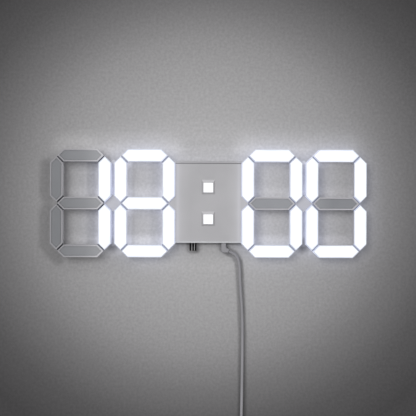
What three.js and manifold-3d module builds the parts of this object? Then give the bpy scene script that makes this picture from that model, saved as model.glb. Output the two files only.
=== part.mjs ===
// Digital wall clock: four large seven-segment digits on a hidden rail, two on each side of a centre body.
// Millimetres. +X runs to the right and +Z up. The wall is the plane y = 0 and the front faces -Y.
// A depth is a distance from the wall, so a point at depth d has y = -d.
// The origin is on the wall face of the rear cover, on the line of the middle segments.

import * as THREE from "three";
import { mergeVertices } from "three/addons/utils/BufferGeometryUtils.js";
import Module from "manifold-3d";

const wasm = await Module();
wasm.setup();

// Fits that every piece shares
const fit = 0.3; // between pieces that rest on each other or sit in each other
const overrun = 1; // how far a cutting tool runs past the face that it cuts
const bond = 0.2; // how deep soldered or moulded-on shapes sink into their own piece

// Digit layout
const cellWidth = 72.4; // between the centrelines of a digit's two columns
const cellHeight = 71.8; // between the centrelines of its horizontal segments
const segmentWidth = 19; // outside width of a segment
const segmentGap = 2.2; // groove between the slanted ends of two segments
const digitGap = 4.9; // between the columns of neighbouring digits
const bodyToDigitGap = 0.4; // between the centre body and the columns beside it

// Digit shell
const shellWall = 1.4;
const ledgeWidth = 0.95; // ledge that holds a diffuser's flange
const rimLand = 1; // flat front of a rim, outside its sloping inner side
const faceRecess = 0.8; // a diffuser's face lies this far behind the rim
const segmentRise = 8; // the segments stand this far in front of the groove floor
const roofThickness = 3.9; // ribs between the light chambers, behind the grooves

// Diffusers
const lipThickness = 1.2;
const flangeThickness = 1.4;

// Back covers and rail
const backPlate = 1.8;
const postRadius = 2;
const railDepth = 3.8;
const railWeb = 1.4;
const railFlange = 1.4;
const railMargin = 1.6; // between the rail and the shell walls above and below it
const railEndMargin = 8; // the rail runs this far past the last connector
const bridgeWall = 1.6; // of the rail's bridges, which fill the notches between digits

// Boards and loom
const boardThickness = 1.6;
const boardMargin = 0.5; // between an LED board and the shell walls
const ledWidth = 3.5;
const ledHeight = 1.4;
const ledsPerSegment = 3;
const connectorLength = 12;
const connectorMargin = 0.8; // between a connector and the rail's flanges
const loomMargin = 1.1; // between the loom and the rail's flanges
const loomThickness = 0.8;

// Centre body
const bodyWidth = 99;
const bodyBottom = 59.4; // below the line of the middle segments
const bodyTop = 63; // above that line
const bodyStep = 3; // its face lies this far behind the segment fronts
const bodyWall = 2;
const faceWall = 2;
const topBevel = 0.8;
const bottomBevel = 1.8;
const grooveWidth = 1;
const grooveDepth = 1.2;
const grooveInset = 2.2; // from the top edge to the groove
const lipWall = 1.2; // locating lip of the rear cover
const lipHeight = 2;

// Colon
const colonSquare = 13.8;
const colonSpacing = 47.6;
const bezelFoot = 2.9; // the bezel's sloping sides reach this far outside the opening
const bezelLand = 0.3; // flat front of the bezel
const bezelRise = 2.2;
const colonRecess = 0.3;
const colonWebThickness = 1.6;
const colonWebMargin = 2.2; // the web reaches this far outside the squares

// Rear cover screws
const screwHeadRadius = 2.6;
const screwHeadHeight = 1.9;
const screwShankRadius = 1.4;
const screwLength = 10;
const screwSink = 0.2; // the head lies this far inside the wall face
const screwInset = 6.5; // from the body's outside to a screw's axis
const screwSeat = 2; // material under a screw head
const bossWall = 1.2;
const pilotEnd = 0.7; // past the screw's tip

// Keyholes for the wall hooks
const keyholeRadius = 4.2;
const keyholeSlot = 4.4;
const keyholeRun = 7;
const keyholeSpacing = 56;
const keyholeHeight = 48;

// Main board
const mainBoardMargin = 2.9; // between the board and the screw posts beside it
const mainBoardDrop = 23; // from the body's top to the board's top edge
const chipWidth = 10;
const chipHeight = 6;
const chipThickness = 1.6;
const chipInset = 24; // from the board's right-hand edge to the chip's middle
const chipDrop = 58; // from the board's top edge
const buzzerRadius = 4.8;
const buzzerHeight = 4.2;
const buzzerInset = 14; // from the board's right-hand edge
const buzzerDrop = 16;
const cellRadius = 10;
const cellThickness = 3.2;
const cellInset = 16; // from the board's left-hand edge
const cellDrop = 20;
const holderWall = 1;
const holderHeight = 2.4;

// Buttons
const buttonInset = 26.1; // from the body's left side to the middle button
const buttonPitch = 3.77;
const buttonWidth = 2.1;
const buttonThickness = 3.2;
const buttonReach = 11; // below the body
const buttonFlange = 1.2;
const buttonFlangeWidth = 3.1;
const buttonFlangeMargin = 0.7; // the flange stands out this far in front and behind
const buttonTravel = 1;
const switchWidth = 3;
const switchHeight = 4.5;
const switchThickness = 4;

// Power socket and plug
const socketInset = 26.2; // from the body's right side to its axis
const socketWidth = 10;
const socketThickness = 9.6;
const socketHeight = 11.5;
const socketDepth = 9; // depth of its axis
const socketNoseRadius = 4.2;
const barrelRadius = 2.75;
const barrelBore = 1.25;
const barrelClearance = 0.4;
const barrelReach = 9.5; // above the body's underside
const barrelFloor = 0.8; // solid end below the barrel's bore
const pinRadius = 0.95;
const pinSetback = 2; // the socket's pin ends this far above its mouth
const socketEndWall = 2.1;
const plugWidth = 7.3;
const plugThickness = 7.3;
const plugHeight = 13.8;

// Cord
const cordDiameter = 4.4;
const cordSides = 10;
const outletRadius = 3; // of the plug's moulding round the cord
const outletDrop = 25; // degrees below the horizontal, where the cord leaves the plug
const outletX = 7.8; // from the plug's axis to the end of its moulding
const outletFall = 12.5; // from the body's underside to that end

// The cord's free stretch, after its end at the plug: x, depth and z of each point on its route
const cordRoute = [
  [35.6, 8.9, -74.2],
  [39.1, 8.7, -77.2],
  [41.8, 8.4, -81.2],
  [43.5, 8, -86],
  [44.7, 7.4, -92],
  [45.5, 6.7, -101],
  [46.2, 5.8, -114],
  [47.6, 4.9, -129],
  [49, 4.3, -145],
  [49.9, 4, -162],
  [50.4, 3.9, -182],
  [50.6, 3.9, -207],
  [50.6, 3.9, -236],
  [50.6, 3.9, -266],
  [50.6, 3.9, -296],
  [50.6, 3.9, -326],
  [51.5, 3.9, -332.1],
  [54.1, 3.9, -336.5],
  [58.5, 3.9, -339.1],
  [64.6, 3.9, -340],
  [69, 3.9, -340],
];
const cordStepShare = 2; // length of a step of the tube, in diameters
const nearShare = 3; // stretches closer than this along the tube, in diameters, are neighbours

// The rest of the cord, wound in two layers that spiral in and then out again
const coilTurns = 8.25;
const coilMeanRadius = 23.5;
const coilPitch = 5;
const coilStepsPerTurn = 24;
const coilSides = 6;
const tieWidth = 6;
const tieThickness = 1;
const tieAngle = 150; // degrees round the coil from its right-hand side

// Plug on the cord's far end
const reliefStart = 2.3;
const reliefEnd = 3.6;
const reliefLength = 22;
const gripWidth = 15.7;
const gripThickness = 8;
const gripLength = 22;
const metalWall = 0.4;
const metalWidth = 12;
const metalThickness = 4.5;
const metalLength = 12;
const tongueThickness = 1.8;

// Depths of the layers, from the wall to the front
const railBack = backPlate + fit;
const railFront = railBack + railDepth;
const boardBack = railFront + fit;
const boardFront = boardBack + boardThickness;
const chamberBack = boardFront + fit;
const grooveFloor = chamberBack + roofThickness;
const segmentFront = grooveFloor + segmentRise;
const diffuserFace = segmentFront - faceRecess;
const lipBack = diffuserFace - lipThickness;
const flangeBack = lipBack - flangeThickness;
const bodyFront = segmentFront - bodyStep;
const bodyInside = bodyFront - faceWall;

// Places across the clock
const tipSetback = segmentGap / Math.SQRT2; // from a joint of centrelines to a segment's tip
const rimWidth = shellWall + ledgeWidth;
const innerColumnX = bodyWidth / 2 + bodyToDigitGap + segmentWidth / 2;
const innerDigitX = innerColumnX + cellWidth / 2;
const outerDigitX = innerDigitX + cellWidth + segmentWidth + digitGap;
const railHeight = segmentWidth - 2 * (shellWall + railMargin);
const railChannel = railHeight / 2 - railFlange; // half the height inside the rail
const railReach = outerDigitX + connectorLength / 2 + railEndMargin;
const bridgeReach = segmentWidth / 2 + tipSetback + digitGap / 2 - fit * Math.SQRT2; // from its middle
const wingTip = innerColumnX + tipSetback - fit * Math.SQRT2; // tip of the body's wing in a digit's notch
const connectorHeight = 2 * (railChannel - connectorMargin);
const bossRadius = screwHeadRadius + fit + bossWall;
const mainBoardWidth = bodyWidth - 2 * (screwInset + bossRadius + mainBoardMargin);
const mainBoardTop = bodyTop - mainBoardDrop;
const chipX = mainBoardWidth / 2 - chipInset;
const chipZ = mainBoardTop - chipDrop;
const buzzerX = mainBoardWidth / 2 - buzzerInset;
const buzzerZ = mainBoardTop - buzzerDrop;
const cellX = cellInset - mainBoardWidth / 2;
const cellZ = mainBoardTop - cellDrop;
const buttonX = buttonInset - bodyWidth / 2;
const socketX = bodyWidth / 2 - socketInset;
const floorInside = -bodyBottom + bodyWall; // inner side of the body's underside
const flangeTop = floorInside + fit + buttonFlange;
const mainBoardBottom = flangeTop + buttonTravel + fit;
const buttonDepth = boardFront + switchThickness / 2;
const outlet = new THREE.Vector3(socketX + outletX, -socketDepth, -bodyBottom - outletFall);
const outletSlope = THREE.MathUtils.degToRad(outletDrop);
const cordStart = outlet
  .clone()
  .add(new THREE.Vector3(fit * Math.cos(outletSlope), 0, -fit * Math.sin(outletSlope)));

// Finishes
const finish = (colour, roughness, metalness = 0) => ({ color: colour, roughness, metalness });
const whitePlastic = finish(0xb4b4b6, 0.5);
const greyPlastic = finish(0xa2a3a6, 0.6);
const litDiffuser = finish(0xffffff, 0.4);
const unlitDiffuser = finish(0x83868b, 0.45);
const boardLacquer = finish(0x1f5c38, 0.5);
const blackPlastic = finish(0x151515, 0.45);
const whiteCord = finish(0xb9b9ba, 0.55);
const steel = finish(0xb8babd, 0.35, 1);
const zinc = finish(0xa6a9ad, 0.4, 1);

// A mesh of one named piece.
function piece(name, geometry, look) {
  const mesh = new THREE.Mesh(geometry, new THREE.MeshStandardMaterial(look));
  mesh.name = name;
  return mesh;
}

// A closed three.js geometry as a solid that can be joined and cut.
function solid(geometry) {
  const bare = geometry.clone();
  bare.deleteAttribute("normal");
  bare.deleteAttribute("uv");
  const merged = mergeVertices(bare);
  return new wasm.Manifold(
    new wasm.Mesh({
      numProp: 3,
      vertProperties: new Float32Array(merged.attributes.position.array),
      triVerts: new Uint32Array(merged.index.array),
    }),
  );
}

// A joined or cut solid as a three.js geometry.
function geometryOf(body) {
  const mesh = body.getMesh();
  const geometry = new THREE.BufferGeometry();
  geometry.setAttribute("position", new THREE.BufferAttribute(mesh.vertProperties, 3));
  geometry.setIndex(new THREE.BufferAttribute(mesh.triVerts, 1));
  const flat = geometry.toNonIndexed();
  flat.computeVertexNormals();
  return flat;
}

// Several solids joined into one.
const joined = (bodies) => bodies.reduce((whole, body) => whole.add(body));

// One solid with several others cut out of it.
const cut = (body, tools) => tools.reduce((left, tool) => left.subtract(tool), body);

// A box between two depths, from x0 to x1 and from z0 to z1.
function block(x0, x1, back, front, z0, z1) {
  const geometry = new THREE.BoxGeometry(x1 - x0, front - back, z1 - z0);
  geometry.translate((x0 + x1) / 2, -(back + front) / 2, (z0 + z1) / 2);
  return solid(geometry);
}

// A round bar from one depth to another, along Y.
function rod(radius, back, front, x, z, sides = 16) {
  const geometry = new THREE.CylinderGeometry(radius, radius, front - back, sides);
  geometry.translate(x, -(back + front) / 2, z);
  return solid(geometry);
}

// An upright round bar from z0 up to z1, which may taper.
function column(x, depth, z0, z1, bottomRadius, topRadius = bottomRadius, sides = 16) {
  const geometry = new THREE.CylinderGeometry(topRadius, bottomRadius, z1 - z0, sides);
  geometry.rotateX(Math.PI / 2);
  geometry.translate(x, -depth, (z0 + z1) / 2);
  return solid(geometry);
}

// A flat plate of any outline, with its holes, between two depths.
function plate(shape, back, front) {
  const geometry = new THREE.ExtrudeGeometry(shape, { depth: front - back, bevelEnabled: false });
  geometry.rotateX(Math.PI / 2);
  geometry.translate(0, -back, 0);
  return solid(geometry);
}

// A solid between two convex outlines of as many corners, one at each depth.
function tapered(backOutline, frontOutline, back, front) {
  const count = backOutline.length;
  const points = [
    ...backOutline.map(([x, z]) => [x, -back, z]),
    ...frontOutline.map(([x, z]) => [x, -front, z]),
  ];
  const faces = [];
  for (let i = 0; i < count; i += 1) {
    const next = (i + 1) % count;
    faces.push(i, next, count + next, i, count + next, count + i);
  }
  for (let i = 1; i < count - 1; i += 1) {
    faces.push(0, i + 1, i);
    faces.push(count, count + i, count + i + 1);
  }
  const geometry = new THREE.BufferGeometry();
  geometry.setAttribute("position", new THREE.Float32BufferAttribute(points.flat(), 3));
  geometry.setIndex(faces);
  return solid(geometry);
}

const prism = (outline, back, front) => tapered(outline, outline, back, front);

// A square outline, given by half its side.
const squareOutline = (half, z = 0) => [
  [half, z - half],
  [half, z + half],
  [-half, z + half],
  [-half, z - half],
];

// The outline of a segment with 45 degree ends, drawn in from its outside by inset.
function segmentOutline(upright, inset) {
  const span = (upright ? cellHeight : cellWidth) / 2 - tipSetback - inset * Math.SQRT2;
  const half = segmentWidth / 2 - inset;
  const corners = [
    [span, 0],
    [span - half, half],
    [half - span, half],
    [-span, 0],
    [half - span, -half],
    [span - half, -half],
  ];
  return upright ? corners.map(([x, z]) => [-z, x]) : corners;
}

// The outline of a whole digit with its two windows, drawn in from its outside by inset.
function digitShape(inset) {
  const column = cellWidth / 2;
  const half = segmentWidth / 2 - inset;
  const tip = tipSetback + inset * Math.SQRT2;
  const upperRight = [
    [column - tip, 0],
    [column + half, tip + half],
    [column + half, cellHeight - half - tip],
    [column - half - tip, cellHeight + half],
  ];
  const upperLeft = upperRight.map(([x, z]) => [-x, z]).reverse();
  const lower = [...upperRight, ...upperLeft].slice(1, -1).map(([x, z]) => [x, -z]);
  const outline = [...upperRight, ...upperLeft, ...lower.reverse()];
  const shape = new THREE.Shape(outline.map(([x, z]) => new THREE.Vector2(x, z)));
  const side = column - half;
  const chamfer = tipSetback + inset * (2 - Math.SQRT2);
  for (const up of [1, -1]) {
    const low = half;
    const high = cellHeight - half;
    const window = [
      [side - chamfer, low],
      [side, low + chamfer],
      [side, high - chamfer],
      [side - chamfer, high],
      [chamfer - side, high],
      [-side, high - chamfer],
      [-side, low + chamfer],
      [chamfer - side, low],
    ];
    shape.holes.push(new THREE.Path(window.map(([x, z]) => new THREE.Vector2(x, up * z))));
  }
  return shape;
}

// The seven segments of a digit: letter, place of the centre, and whether it stands upright.
const segments = [
  { letter: "a", x: 0, z: cellHeight, upright: false },
  { letter: "b", x: cellWidth / 2, z: cellHeight / 2, upright: true },
  { letter: "c", x: cellWidth / 2, z: -cellHeight / 2, upright: true },
  { letter: "d", x: 0, z: -cellHeight, upright: false },
  { letter: "e", x: -cellWidth / 2, z: -cellHeight / 2, upright: true },
  { letter: "f", x: -cellWidth / 2, z: cellHeight / 2, upright: true },
  { letter: "g", x: 0, z: 0, upright: false },
];

// The four digits from left to right, the sides on which the rail leaves each, and the segments lit at 18:00.
const digits = [
  { number: 1, x: -outerDigitX, railLeft: false, railRight: true, lit: "bc" },
  { number: 2, x: -innerDigitX, railLeft: true, railRight: true, lit: "abcdefg" },
  { number: 3, x: innerDigitX, railLeft: true, railRight: true, lit: "abcdef" },
  { number: 4, x: outerDigitX, railLeft: true, railRight: false, lit: "abcdef" },
];

const moved = (outline, { x, z }) => outline.map(([u, v]) => [u + x, v + z]);

// A digit's shell: the figure-eight base, the raised rims, and the light chambers behind them.
function digitShell({ railLeft, railRight }) {
  const raised = segments.map((s) =>
    prism(moved(segmentOutline(s.upright, 0), s), grooveFloor - bond, segmentFront),
  );
  const rimSlope = (rimWidth - rimLand) / faceRecess;
  const tools = [plate(digitShape(shellWall), -overrun, chamberBack)];
  for (const s of segments) {
    const outline = (inset) => moved(segmentOutline(s.upright, inset), s);
    tools.push(prism(outline(shellWall), boardBack, lipBack + fit));
    tools.push(prism(outline(rimWidth), lipBack, segmentFront));
    tools.push(
      tapered(
        outline(rimWidth),
        outline(rimLand - rimSlope * overrun),
        diffuserFace,
        segmentFront + overrun,
      ),
    );
  }
  const reach = cellWidth / 2 + segmentWidth / 2 + overrun;
  tools.push(
    block(
      railLeft ? -reach : 0,
      railRight ? reach : 0,
      -overrun,
      railFront + fit,
      -railHeight / 2 - fit,
      railHeight / 2 + fit,
    ),
  );
  return geometryOf(cut(joined([plate(digitShape(0), 0, grooveFloor), ...raised]), tools));
}

// A digit's back cover, with a post behind each outer segment to carry the LED board.
function digitBackCover() {
  const posts = segments
    .filter((s) => s.letter !== "g")
    .map((s) => rod(postRadius, backPlate - bond, boardBack - fit, s.x, s.z, 12));
  return geometryOf(joined([plate(digitShape(shellWall + fit), 0, backPlate), ...posts]));
}

// The places of a segment's LEDs, spread along it.
function ledPlaces({ x, z, upright }) {
  const pitch = (upright ? cellHeight : cellWidth) / (ledsPerSegment + 1);
  return Array.from({ length: ledsPerSegment }, (_, i) => {
    const along = (i - (ledsPerSegment - 1) / 2) * pitch;
    return upright ? [x, z + along] : [x + along, z];
  });
}

const led = (x, z) =>
  block(
    x - ledWidth / 2,
    x + ledWidth / 2,
    boardFront - bond,
    boardFront + ledHeight,
    z - ledWidth / 2,
    z + ledWidth / 2,
  );

// The connector on the back of a board, which reaches into the rail down to the loom.
const loomConnector = () =>
  block(
    -connectorLength / 2,
    connectorLength / 2,
    railBack + railWeb + fit + loomThickness + fit,
    boardBack + bond,
    -connectorHeight / 2,
    connectorHeight / 2,
  );

// A digit's LED board, with its LEDs and its connector soldered on.
function ledBoard() {
  const leds = segments.flatMap((s) => ledPlaces(s).map(([x, z]) => led(x, z)));
  const board = plate(digitShape(shellWall + boardMargin), boardBack, boardFront);
  return geometryOf(joined([board, ...leds, loomConnector()]));
}

// A segment's diffuser: the face in the rim and the flange behind the ledge.
function diffuser(upright) {
  const face = prism(segmentOutline(upright, rimWidth + fit), lipBack - bond, diffuserFace);
  const flange = prism(segmentOutline(upright, shellWall + fit), flangeBack, lipBack);
  return geometryOf(face.add(flange));
}

// One whole digit in its own frame.
function digit(spec) {
  const group = new THREE.Group();
  const name = `digit_${spec.number}`;
  group.add(piece(`${name}_shell`, digitShell(spec), whitePlastic));
  group.add(piece(`${name}_back_cover`, digitBackCover(), greyPlastic));
  group.add(piece(`${name}_led_board`, ledBoard(), boardLacquer));
  for (const s of segments) {
    const look = spec.lit.includes(s.letter) ? litDiffuser : unlitDiffuser;
    const mesh = piece(`${name}_segment_${s.letter}`, diffuser(s.upright), look);
    mesh.position.set(s.x, 0, s.z);
    group.add(mesh);
  }
  group.position.x = spec.x;
  return group;
}

const diamondOutline = (x, reach) => [
  [x + reach, 0],
  [x, reach],
  [x - reach, 0],
  [x, -reach],
];

// A bridge of the rail: a pointed cap in the notch between two digits, level with the groove floor.
function railBridge(x) {
  const cap = prism(diamondOutline(x, bridgeReach), railFront - bond, grooveFloor);
  const inside = diamondOutline(x, bridgeReach - bridgeWall * Math.SQRT2);
  return cap.subtract(prism(inside, railFront - overrun, grooveFloor - bridgeWall));
}

// The rail, a channel open to the front, with its two bridges.
function mountingRail() {
  const bar = block(-railReach, railReach, railBack, railFront, -railHeight / 2, railHeight / 2);
  const channel = block(
    -railReach - overrun,
    railReach + overrun,
    railBack + railWeb,
    railFront + overrun,
    -railChannel,
    railChannel,
  );
  const bridges = [-1, 1].map((side) => railBridge((side * (innerDigitX + outerDigitX)) / 2));
  return geometryOf(joined([bar.subtract(channel), ...bridges]));
}

// The flat loom that lies in the rail.
function wiringLoom() {
  const reach = outerDigitX + connectorLength / 2;
  const back = railBack + railWeb + fit;
  const half = railChannel - loomMargin;
  return geometryOf(block(-reach, reach, back, back + loomThickness, -half, half));
}

// The four screws stand near the body's corners.
const screwPlaces = [
  [-1, -1],
  [1, -1],
  [1, 1],
  [-1, 1],
].map(([right, up]) => [
  right * (bodyWidth / 2 - screwInset),
  up > 0 ? bodyTop - screwInset : -bodyBottom + screwInset,
]);
const screwFloor = screwSink + screwHeadHeight + fit;
const bossFront = screwFloor + screwSeat;
const pilotRadius = screwShankRadius + fit;
const screwTip = screwSink + screwHeadHeight + screwLength;

// The centre body's outside, as a bar across with its top and bottom front edges bevelled.
function bodyOutside() {
  const side = new THREE.Shape(
    [
      [-railBack, -bodyBottom],
      [-railBack, bodyTop],
      [-bodyFront + topBevel, bodyTop],
      [-bodyFront, bodyTop - topBevel],
      [-bodyFront, -bodyBottom + bottomBevel],
      [-bodyFront + bottomBevel, -bodyBottom],
    ].map(([y, z]) => new THREE.Vector2(y, z)),
  );
  const geometry = new THREE.ExtrudeGeometry(side, { depth: bodyWidth, bevelEnabled: false });
  const lieAcross = new THREE.Matrix4().set(0, 0, 1, 0, 1, 0, 0, 0, 0, 1, 0, 0, 0, 0, 0, 1);
  geometry.applyMatrix4(lieAcross);
  geometry.translate(-bodyWidth / 2, 0, 0);
  return solid(geometry);
}

// The outline of a pointed wing on one side of the body, from inside the body to its tip.
const wingOutline = (side, base, tip) => [
  [side * tip, 0],
  [side * base, side * (tip - base)],
  [side * base, side * (base - tip)],
];

const buttonPlaces = [-1, 0, 1].map((step) => buttonX + step * buttonPitch);

// The front cover: face, side walls with their wings, colon bezels, screw posts, and the cut-outs in
// its underside.
function centreFrontCover() {
  const opening = colonSquare / 2 + fit;
  const bezels = [-1, 1].map((up) => {
    const z = (up * colonSpacing) / 2;
    const foot = squareOutline(opening + bezelFoot, z);
    const top = squareOutline(opening + bezelLand, z);
    return tapered(foot, top, bodyFront, bodyFront + bezelRise).add(
      prism(foot, bodyFront - bond, bodyFront),
    );
  });
  const hollow = block(
    -bodyWidth / 2 + bodyWall,
    bodyWidth / 2 - bodyWall,
    railBack - overrun,
    bodyInside,
    floorInside,
    bodyTop - bodyWall,
  );
  const posts = screwPlaces.map(([x, z]) => rod(bossRadius, bossFront + fit, bodyInside + bond, x, z));
  const pilots = screwPlaces.map(([x, z]) => rod(pilotRadius, 0, screwTip + pilotEnd, x, z, 12));
  const windows = [-1, 1].map((up) =>
    prism(squareOutline(opening, (up * colonSpacing) / 2), bodyInside - overrun, segmentFront + overrun),
  );
  const groove = block(
    -bodyWidth / 2 - overrun,
    bodyWidth / 2 + overrun,
    bodyFront - grooveDepth,
    bodyFront + overrun,
    bodyTop - grooveInset - grooveWidth,
    bodyTop - grooveInset,
  );
  const slots = buttonPlaces.map((x) =>
    block(
      x - buttonWidth / 2 - fit,
      x + buttonWidth / 2 + fit,
      buttonDepth - buttonThickness / 2 - fit,
      buttonDepth + buttonThickness / 2 + fit,
      -bodyBottom - overrun,
      floorInside + overrun,
    ),
  );
  const socketHole = column(
    socketX,
    socketDepth,
    -bodyBottom - overrun,
    floorInside + overrun,
    socketNoseRadius + fit,
  );
  const wings = [-1, 1].map((side) =>
    prism(wingOutline(side, bodyWidth / 2 - bond, wingTip), railBack, bodyFront),
  );
  const wingHollows = [-1, 1].map((side) => {
    const base = bodyWidth / 2 - bodyWall - overrun;
    const outline = wingOutline(side, base, wingTip - bodyWall * Math.SQRT2);
    return prism(outline, railBack - overrun, bodyInside);
  });
  const outside = joined([bodyOutside(), ...wings]);
  const shell = joined([cut(outside, [hollow, ...wingHollows]), ...posts, ...bezels]);
  const railNotch = block(
    -wingTip - overrun,
    wingTip + overrun,
    -overrun,
    railFront + fit,
    -railHeight / 2 - fit,
    railHeight / 2 + fit,
  );
  const tools = [...pilots, ...windows, groove, ...slots, socketHole, railNotch];
  return geometryOf(cut(shell, tools));
}

// A keyhole with its narrow slot above it.
function keyhole(x) {
  const slotTop = keyholeHeight + keyholeRun;
  return joined([
    rod(keyholeRadius, -overrun, backPlate + overrun, x, keyholeHeight),
    rod(keyholeSlot / 2, -overrun, backPlate + overrun, x, slotTop),
    block(
      x - keyholeSlot / 2,
      x + keyholeSlot / 2,
      -overrun,
      backPlate + overrun,
      keyholeHeight,
      slotTop,
    ),
  ]);
}

// The rear cover: the plate on the wall, its locating lip, the screw bosses and the keyholes.
function centreRearCover() {
  const base = block(-bodyWidth / 2, bodyWidth / 2, 0, backPlate, -bodyBottom, bodyTop);
  const out = bodyWall + fit;
  const inn = out + lipWall;
  const ring = (margin, back, front) =>
    block(
      -bodyWidth / 2 + margin,
      bodyWidth / 2 - margin,
      back,
      front,
      -bodyBottom + margin,
      bodyTop - margin,
    );
  const lip = ring(out, backPlate - bond, backPlate + lipHeight).subtract(
    ring(inn, 0, backPlate + lipHeight + overrun),
  );
  const reach = bodyWidth / 2;
  const railGap = block(
    -reach,
    reach,
    backPlate,
    railFront + fit,
    -railHeight / 2 - fit,
    railHeight / 2 + fit,
  );
  const bosses = screwPlaces.map(([x, z]) => rod(bossRadius, backPlate - bond, bossFront, x, z));
  const tools = screwPlaces.flatMap(([x, z]) => [
    rod(screwHeadRadius + fit, -overrun, screwFloor, x, z),
    rod(pilotRadius, -overrun, bossFront + overrun, x, z, 12),
  ]);
  const keyholes = [-1, 1].map((side) => keyhole((side * keyholeSpacing) / 2));
  return geometryOf(cut(joined([base, lip.subtract(railGap), ...bosses]), [...tools, ...keyholes]));
}

// A cover screw, turned from its profile: pan head at the wall face and shank towards the front.
function coverScrew() {
  const profile = [
    [0, 0],
    [screwHeadRadius, 0],
    [screwHeadRadius, screwHeadHeight],
    [screwShankRadius, screwHeadHeight],
    [screwShankRadius, screwHeadHeight + screwLength],
    [0, screwHeadHeight + screwLength],
  ].map(([r, y]) => new THREE.Vector2(r, y));
  const geometry = new THREE.LatheGeometry(profile, 12);
  geometry.rotateX(Math.PI);
  return geometryOf(solid(geometry));
}

// The colon's diffuser: both squares on one web behind the face.
function colonDiffuser() {
  const webFront = bodyInside - fit;
  const half = colonSquare / 2;
  const web = block(
    -half - colonWebMargin,
    half + colonWebMargin,
    webFront - colonWebThickness,
    webFront,
    -colonSpacing / 2 - half - colonWebMargin,
    colonSpacing / 2 + half + colonWebMargin,
  );
  const face = bodyFront + bezelRise - colonRecess;
  const squares = [-1, 1].map((up) =>
    prism(squareOutline(half, (up * colonSpacing) / 2), webFront - bond, face),
  );
  return geometryOf(joined([web, ...squares]));
}

const socketBottom = floorInside + fit;
const socketTop = socketBottom + socketHeight;

// The main board, with all that is soldered to it.
function mainBoard() {
  const board = block(
    -mainBoardWidth / 2,
    mainBoardWidth / 2,
    boardBack,
    boardFront,
    mainBoardBottom,
    mainBoardTop,
  );
  const socketNotch = block(
    socketX - socketWidth / 2 - fit,
    socketX + socketWidth / 2 + fit,
    boardBack - overrun,
    boardFront + overrun,
    mainBoardBottom - overrun,
    socketTop + fit,
  );
  const switches = buttonPlaces.map((x) =>
    block(
      x - switchWidth / 2,
      x + switchWidth / 2,
      boardFront - bond,
      boardFront + switchThickness,
      mainBoardBottom,
      mainBoardBottom + switchHeight,
    ),
  );
  const chip = block(
    chipX - chipWidth / 2,
    chipX + chipWidth / 2,
    boardFront - bond,
    boardFront + chipThickness,
    chipZ - chipHeight / 2,
    chipZ + chipHeight / 2,
  );
  const buzzer = rod(buzzerRadius, boardFront - bond, boardFront + buzzerHeight, buzzerX, buzzerZ);
  const holderInside = cellRadius + fit;
  const holder = rod(
    holderInside + holderWall,
    boardFront - bond,
    boardFront + holderHeight,
    cellX,
    cellZ,
    20,
  ).subtract(rod(holderInside, boardFront, boardFront + holderHeight + overrun, cellX, cellZ, 20));
  const colonLeds = [-1, 1].map((up) => led(0, (up * colonSpacing) / 2));
  return geometryOf(
    joined([
      board.subtract(socketNotch),
      ...switches,
      chip,
      buzzer,
      holder,
      ...colonLeds,
      loomConnector(),
    ]),
  );
}

// The coin cell that lies in its holder.
function coinCell() {
  const back = boardFront + fit;
  return geometryOf(rod(cellRadius, back, back + cellThickness, cellX, cellZ, 20));
}

// A button: the long plunger and the flange that keeps it in the body. Its top face is at the flange.
function button() {
  const plunger = block(
    -buttonWidth / 2,
    buttonWidth / 2,
    buttonDepth - buttonThickness / 2,
    buttonDepth + buttonThickness / 2,
    -bodyBottom - buttonReach,
    flangeTop,
  );
  const flange = block(
    -buttonFlangeWidth / 2,
    buttonFlangeWidth / 2,
    buttonDepth - buttonThickness / 2 - buttonFlangeMargin,
    buttonDepth + buttonThickness / 2 + buttonFlangeMargin,
    floorInside + fit,
    flangeTop,
  );
  return geometryOf(plunger.add(flange));
}

// The power socket, with its nose through the body's underside and its contact pin.
function powerSocket() {
  const housing = block(
    socketX - socketWidth / 2,
    socketX + socketWidth / 2,
    socketDepth - socketThickness / 2,
    socketDepth + socketThickness / 2,
    socketBottom,
    socketTop,
  );
  const mouth = -bodyBottom + fit;
  const nose = column(socketX, socketDepth, mouth, socketBottom + bond, socketNoseRadius);
  const boreTop = socketTop - socketEndWall;
  const bore = column(
    socketX,
    socketDepth,
    mouth - overrun,
    boreTop,
    barrelRadius + barrelClearance,
  );
  const pin = column(
    socketX,
    socketDepth,
    mouth + pinSetback,
    boreTop + bond,
    pinRadius,
    pinRadius,
    8,
  );
  return geometryOf(housing.add(nose).subtract(bore).add(pin));
}

// The right-angle plug: the moulding, its outlet towards the cord, and the barrel.
function powerPlug() {
  const top = -bodyBottom - fit;
  const bottom = top - plugHeight;
  const left = socketX - plugWidth / 2;
  const right = socketX + plugWidth / 2;
  const across = [Math.sin(outletSlope) * outletRadius, Math.cos(outletSlope) * outletRadius];
  const cornerShares = [
    [0, 0.22],
    [0.12, 0.07],
    [0.41, 0],
  ];
  const elbowShares = [
    [0.28, 0.44],
    [0, 0.66],
  ];
  const outline = [
    [left, top],
    ...cornerShares.map(([u, v]) => [left + u * plugWidth, bottom + v * plugHeight]),
    [outlet.x - across[0], outlet.z - across[1]],
    [outlet.x + across[0], outlet.z + across[1]],
    ...elbowShares.map(([u, v]) => [right + u * (outlet.x - right), bottom + v * plugHeight]),
    [right, top],
  ];
  const shape = new THREE.Shape(outline.map(([x, z]) => new THREE.Vector2(x, z)));
  const moulding = plate(shape, socketDepth - plugThickness / 2, socketDepth + plugThickness / 2);
  const barrelTop = -bodyBottom + barrelReach;
  const barrel = column(socketX, socketDepth, top - bond, barrelTop, barrelRadius);
  const bore = column(
    socketX,
    socketDepth,
    -bodyBottom + barrelFloor,
    barrelTop + overrun,
    barrelBore,
    barrelBore,
    12,
  );
  return geometryOf(moulding.add(barrel).subtract(bore));
}

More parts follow.
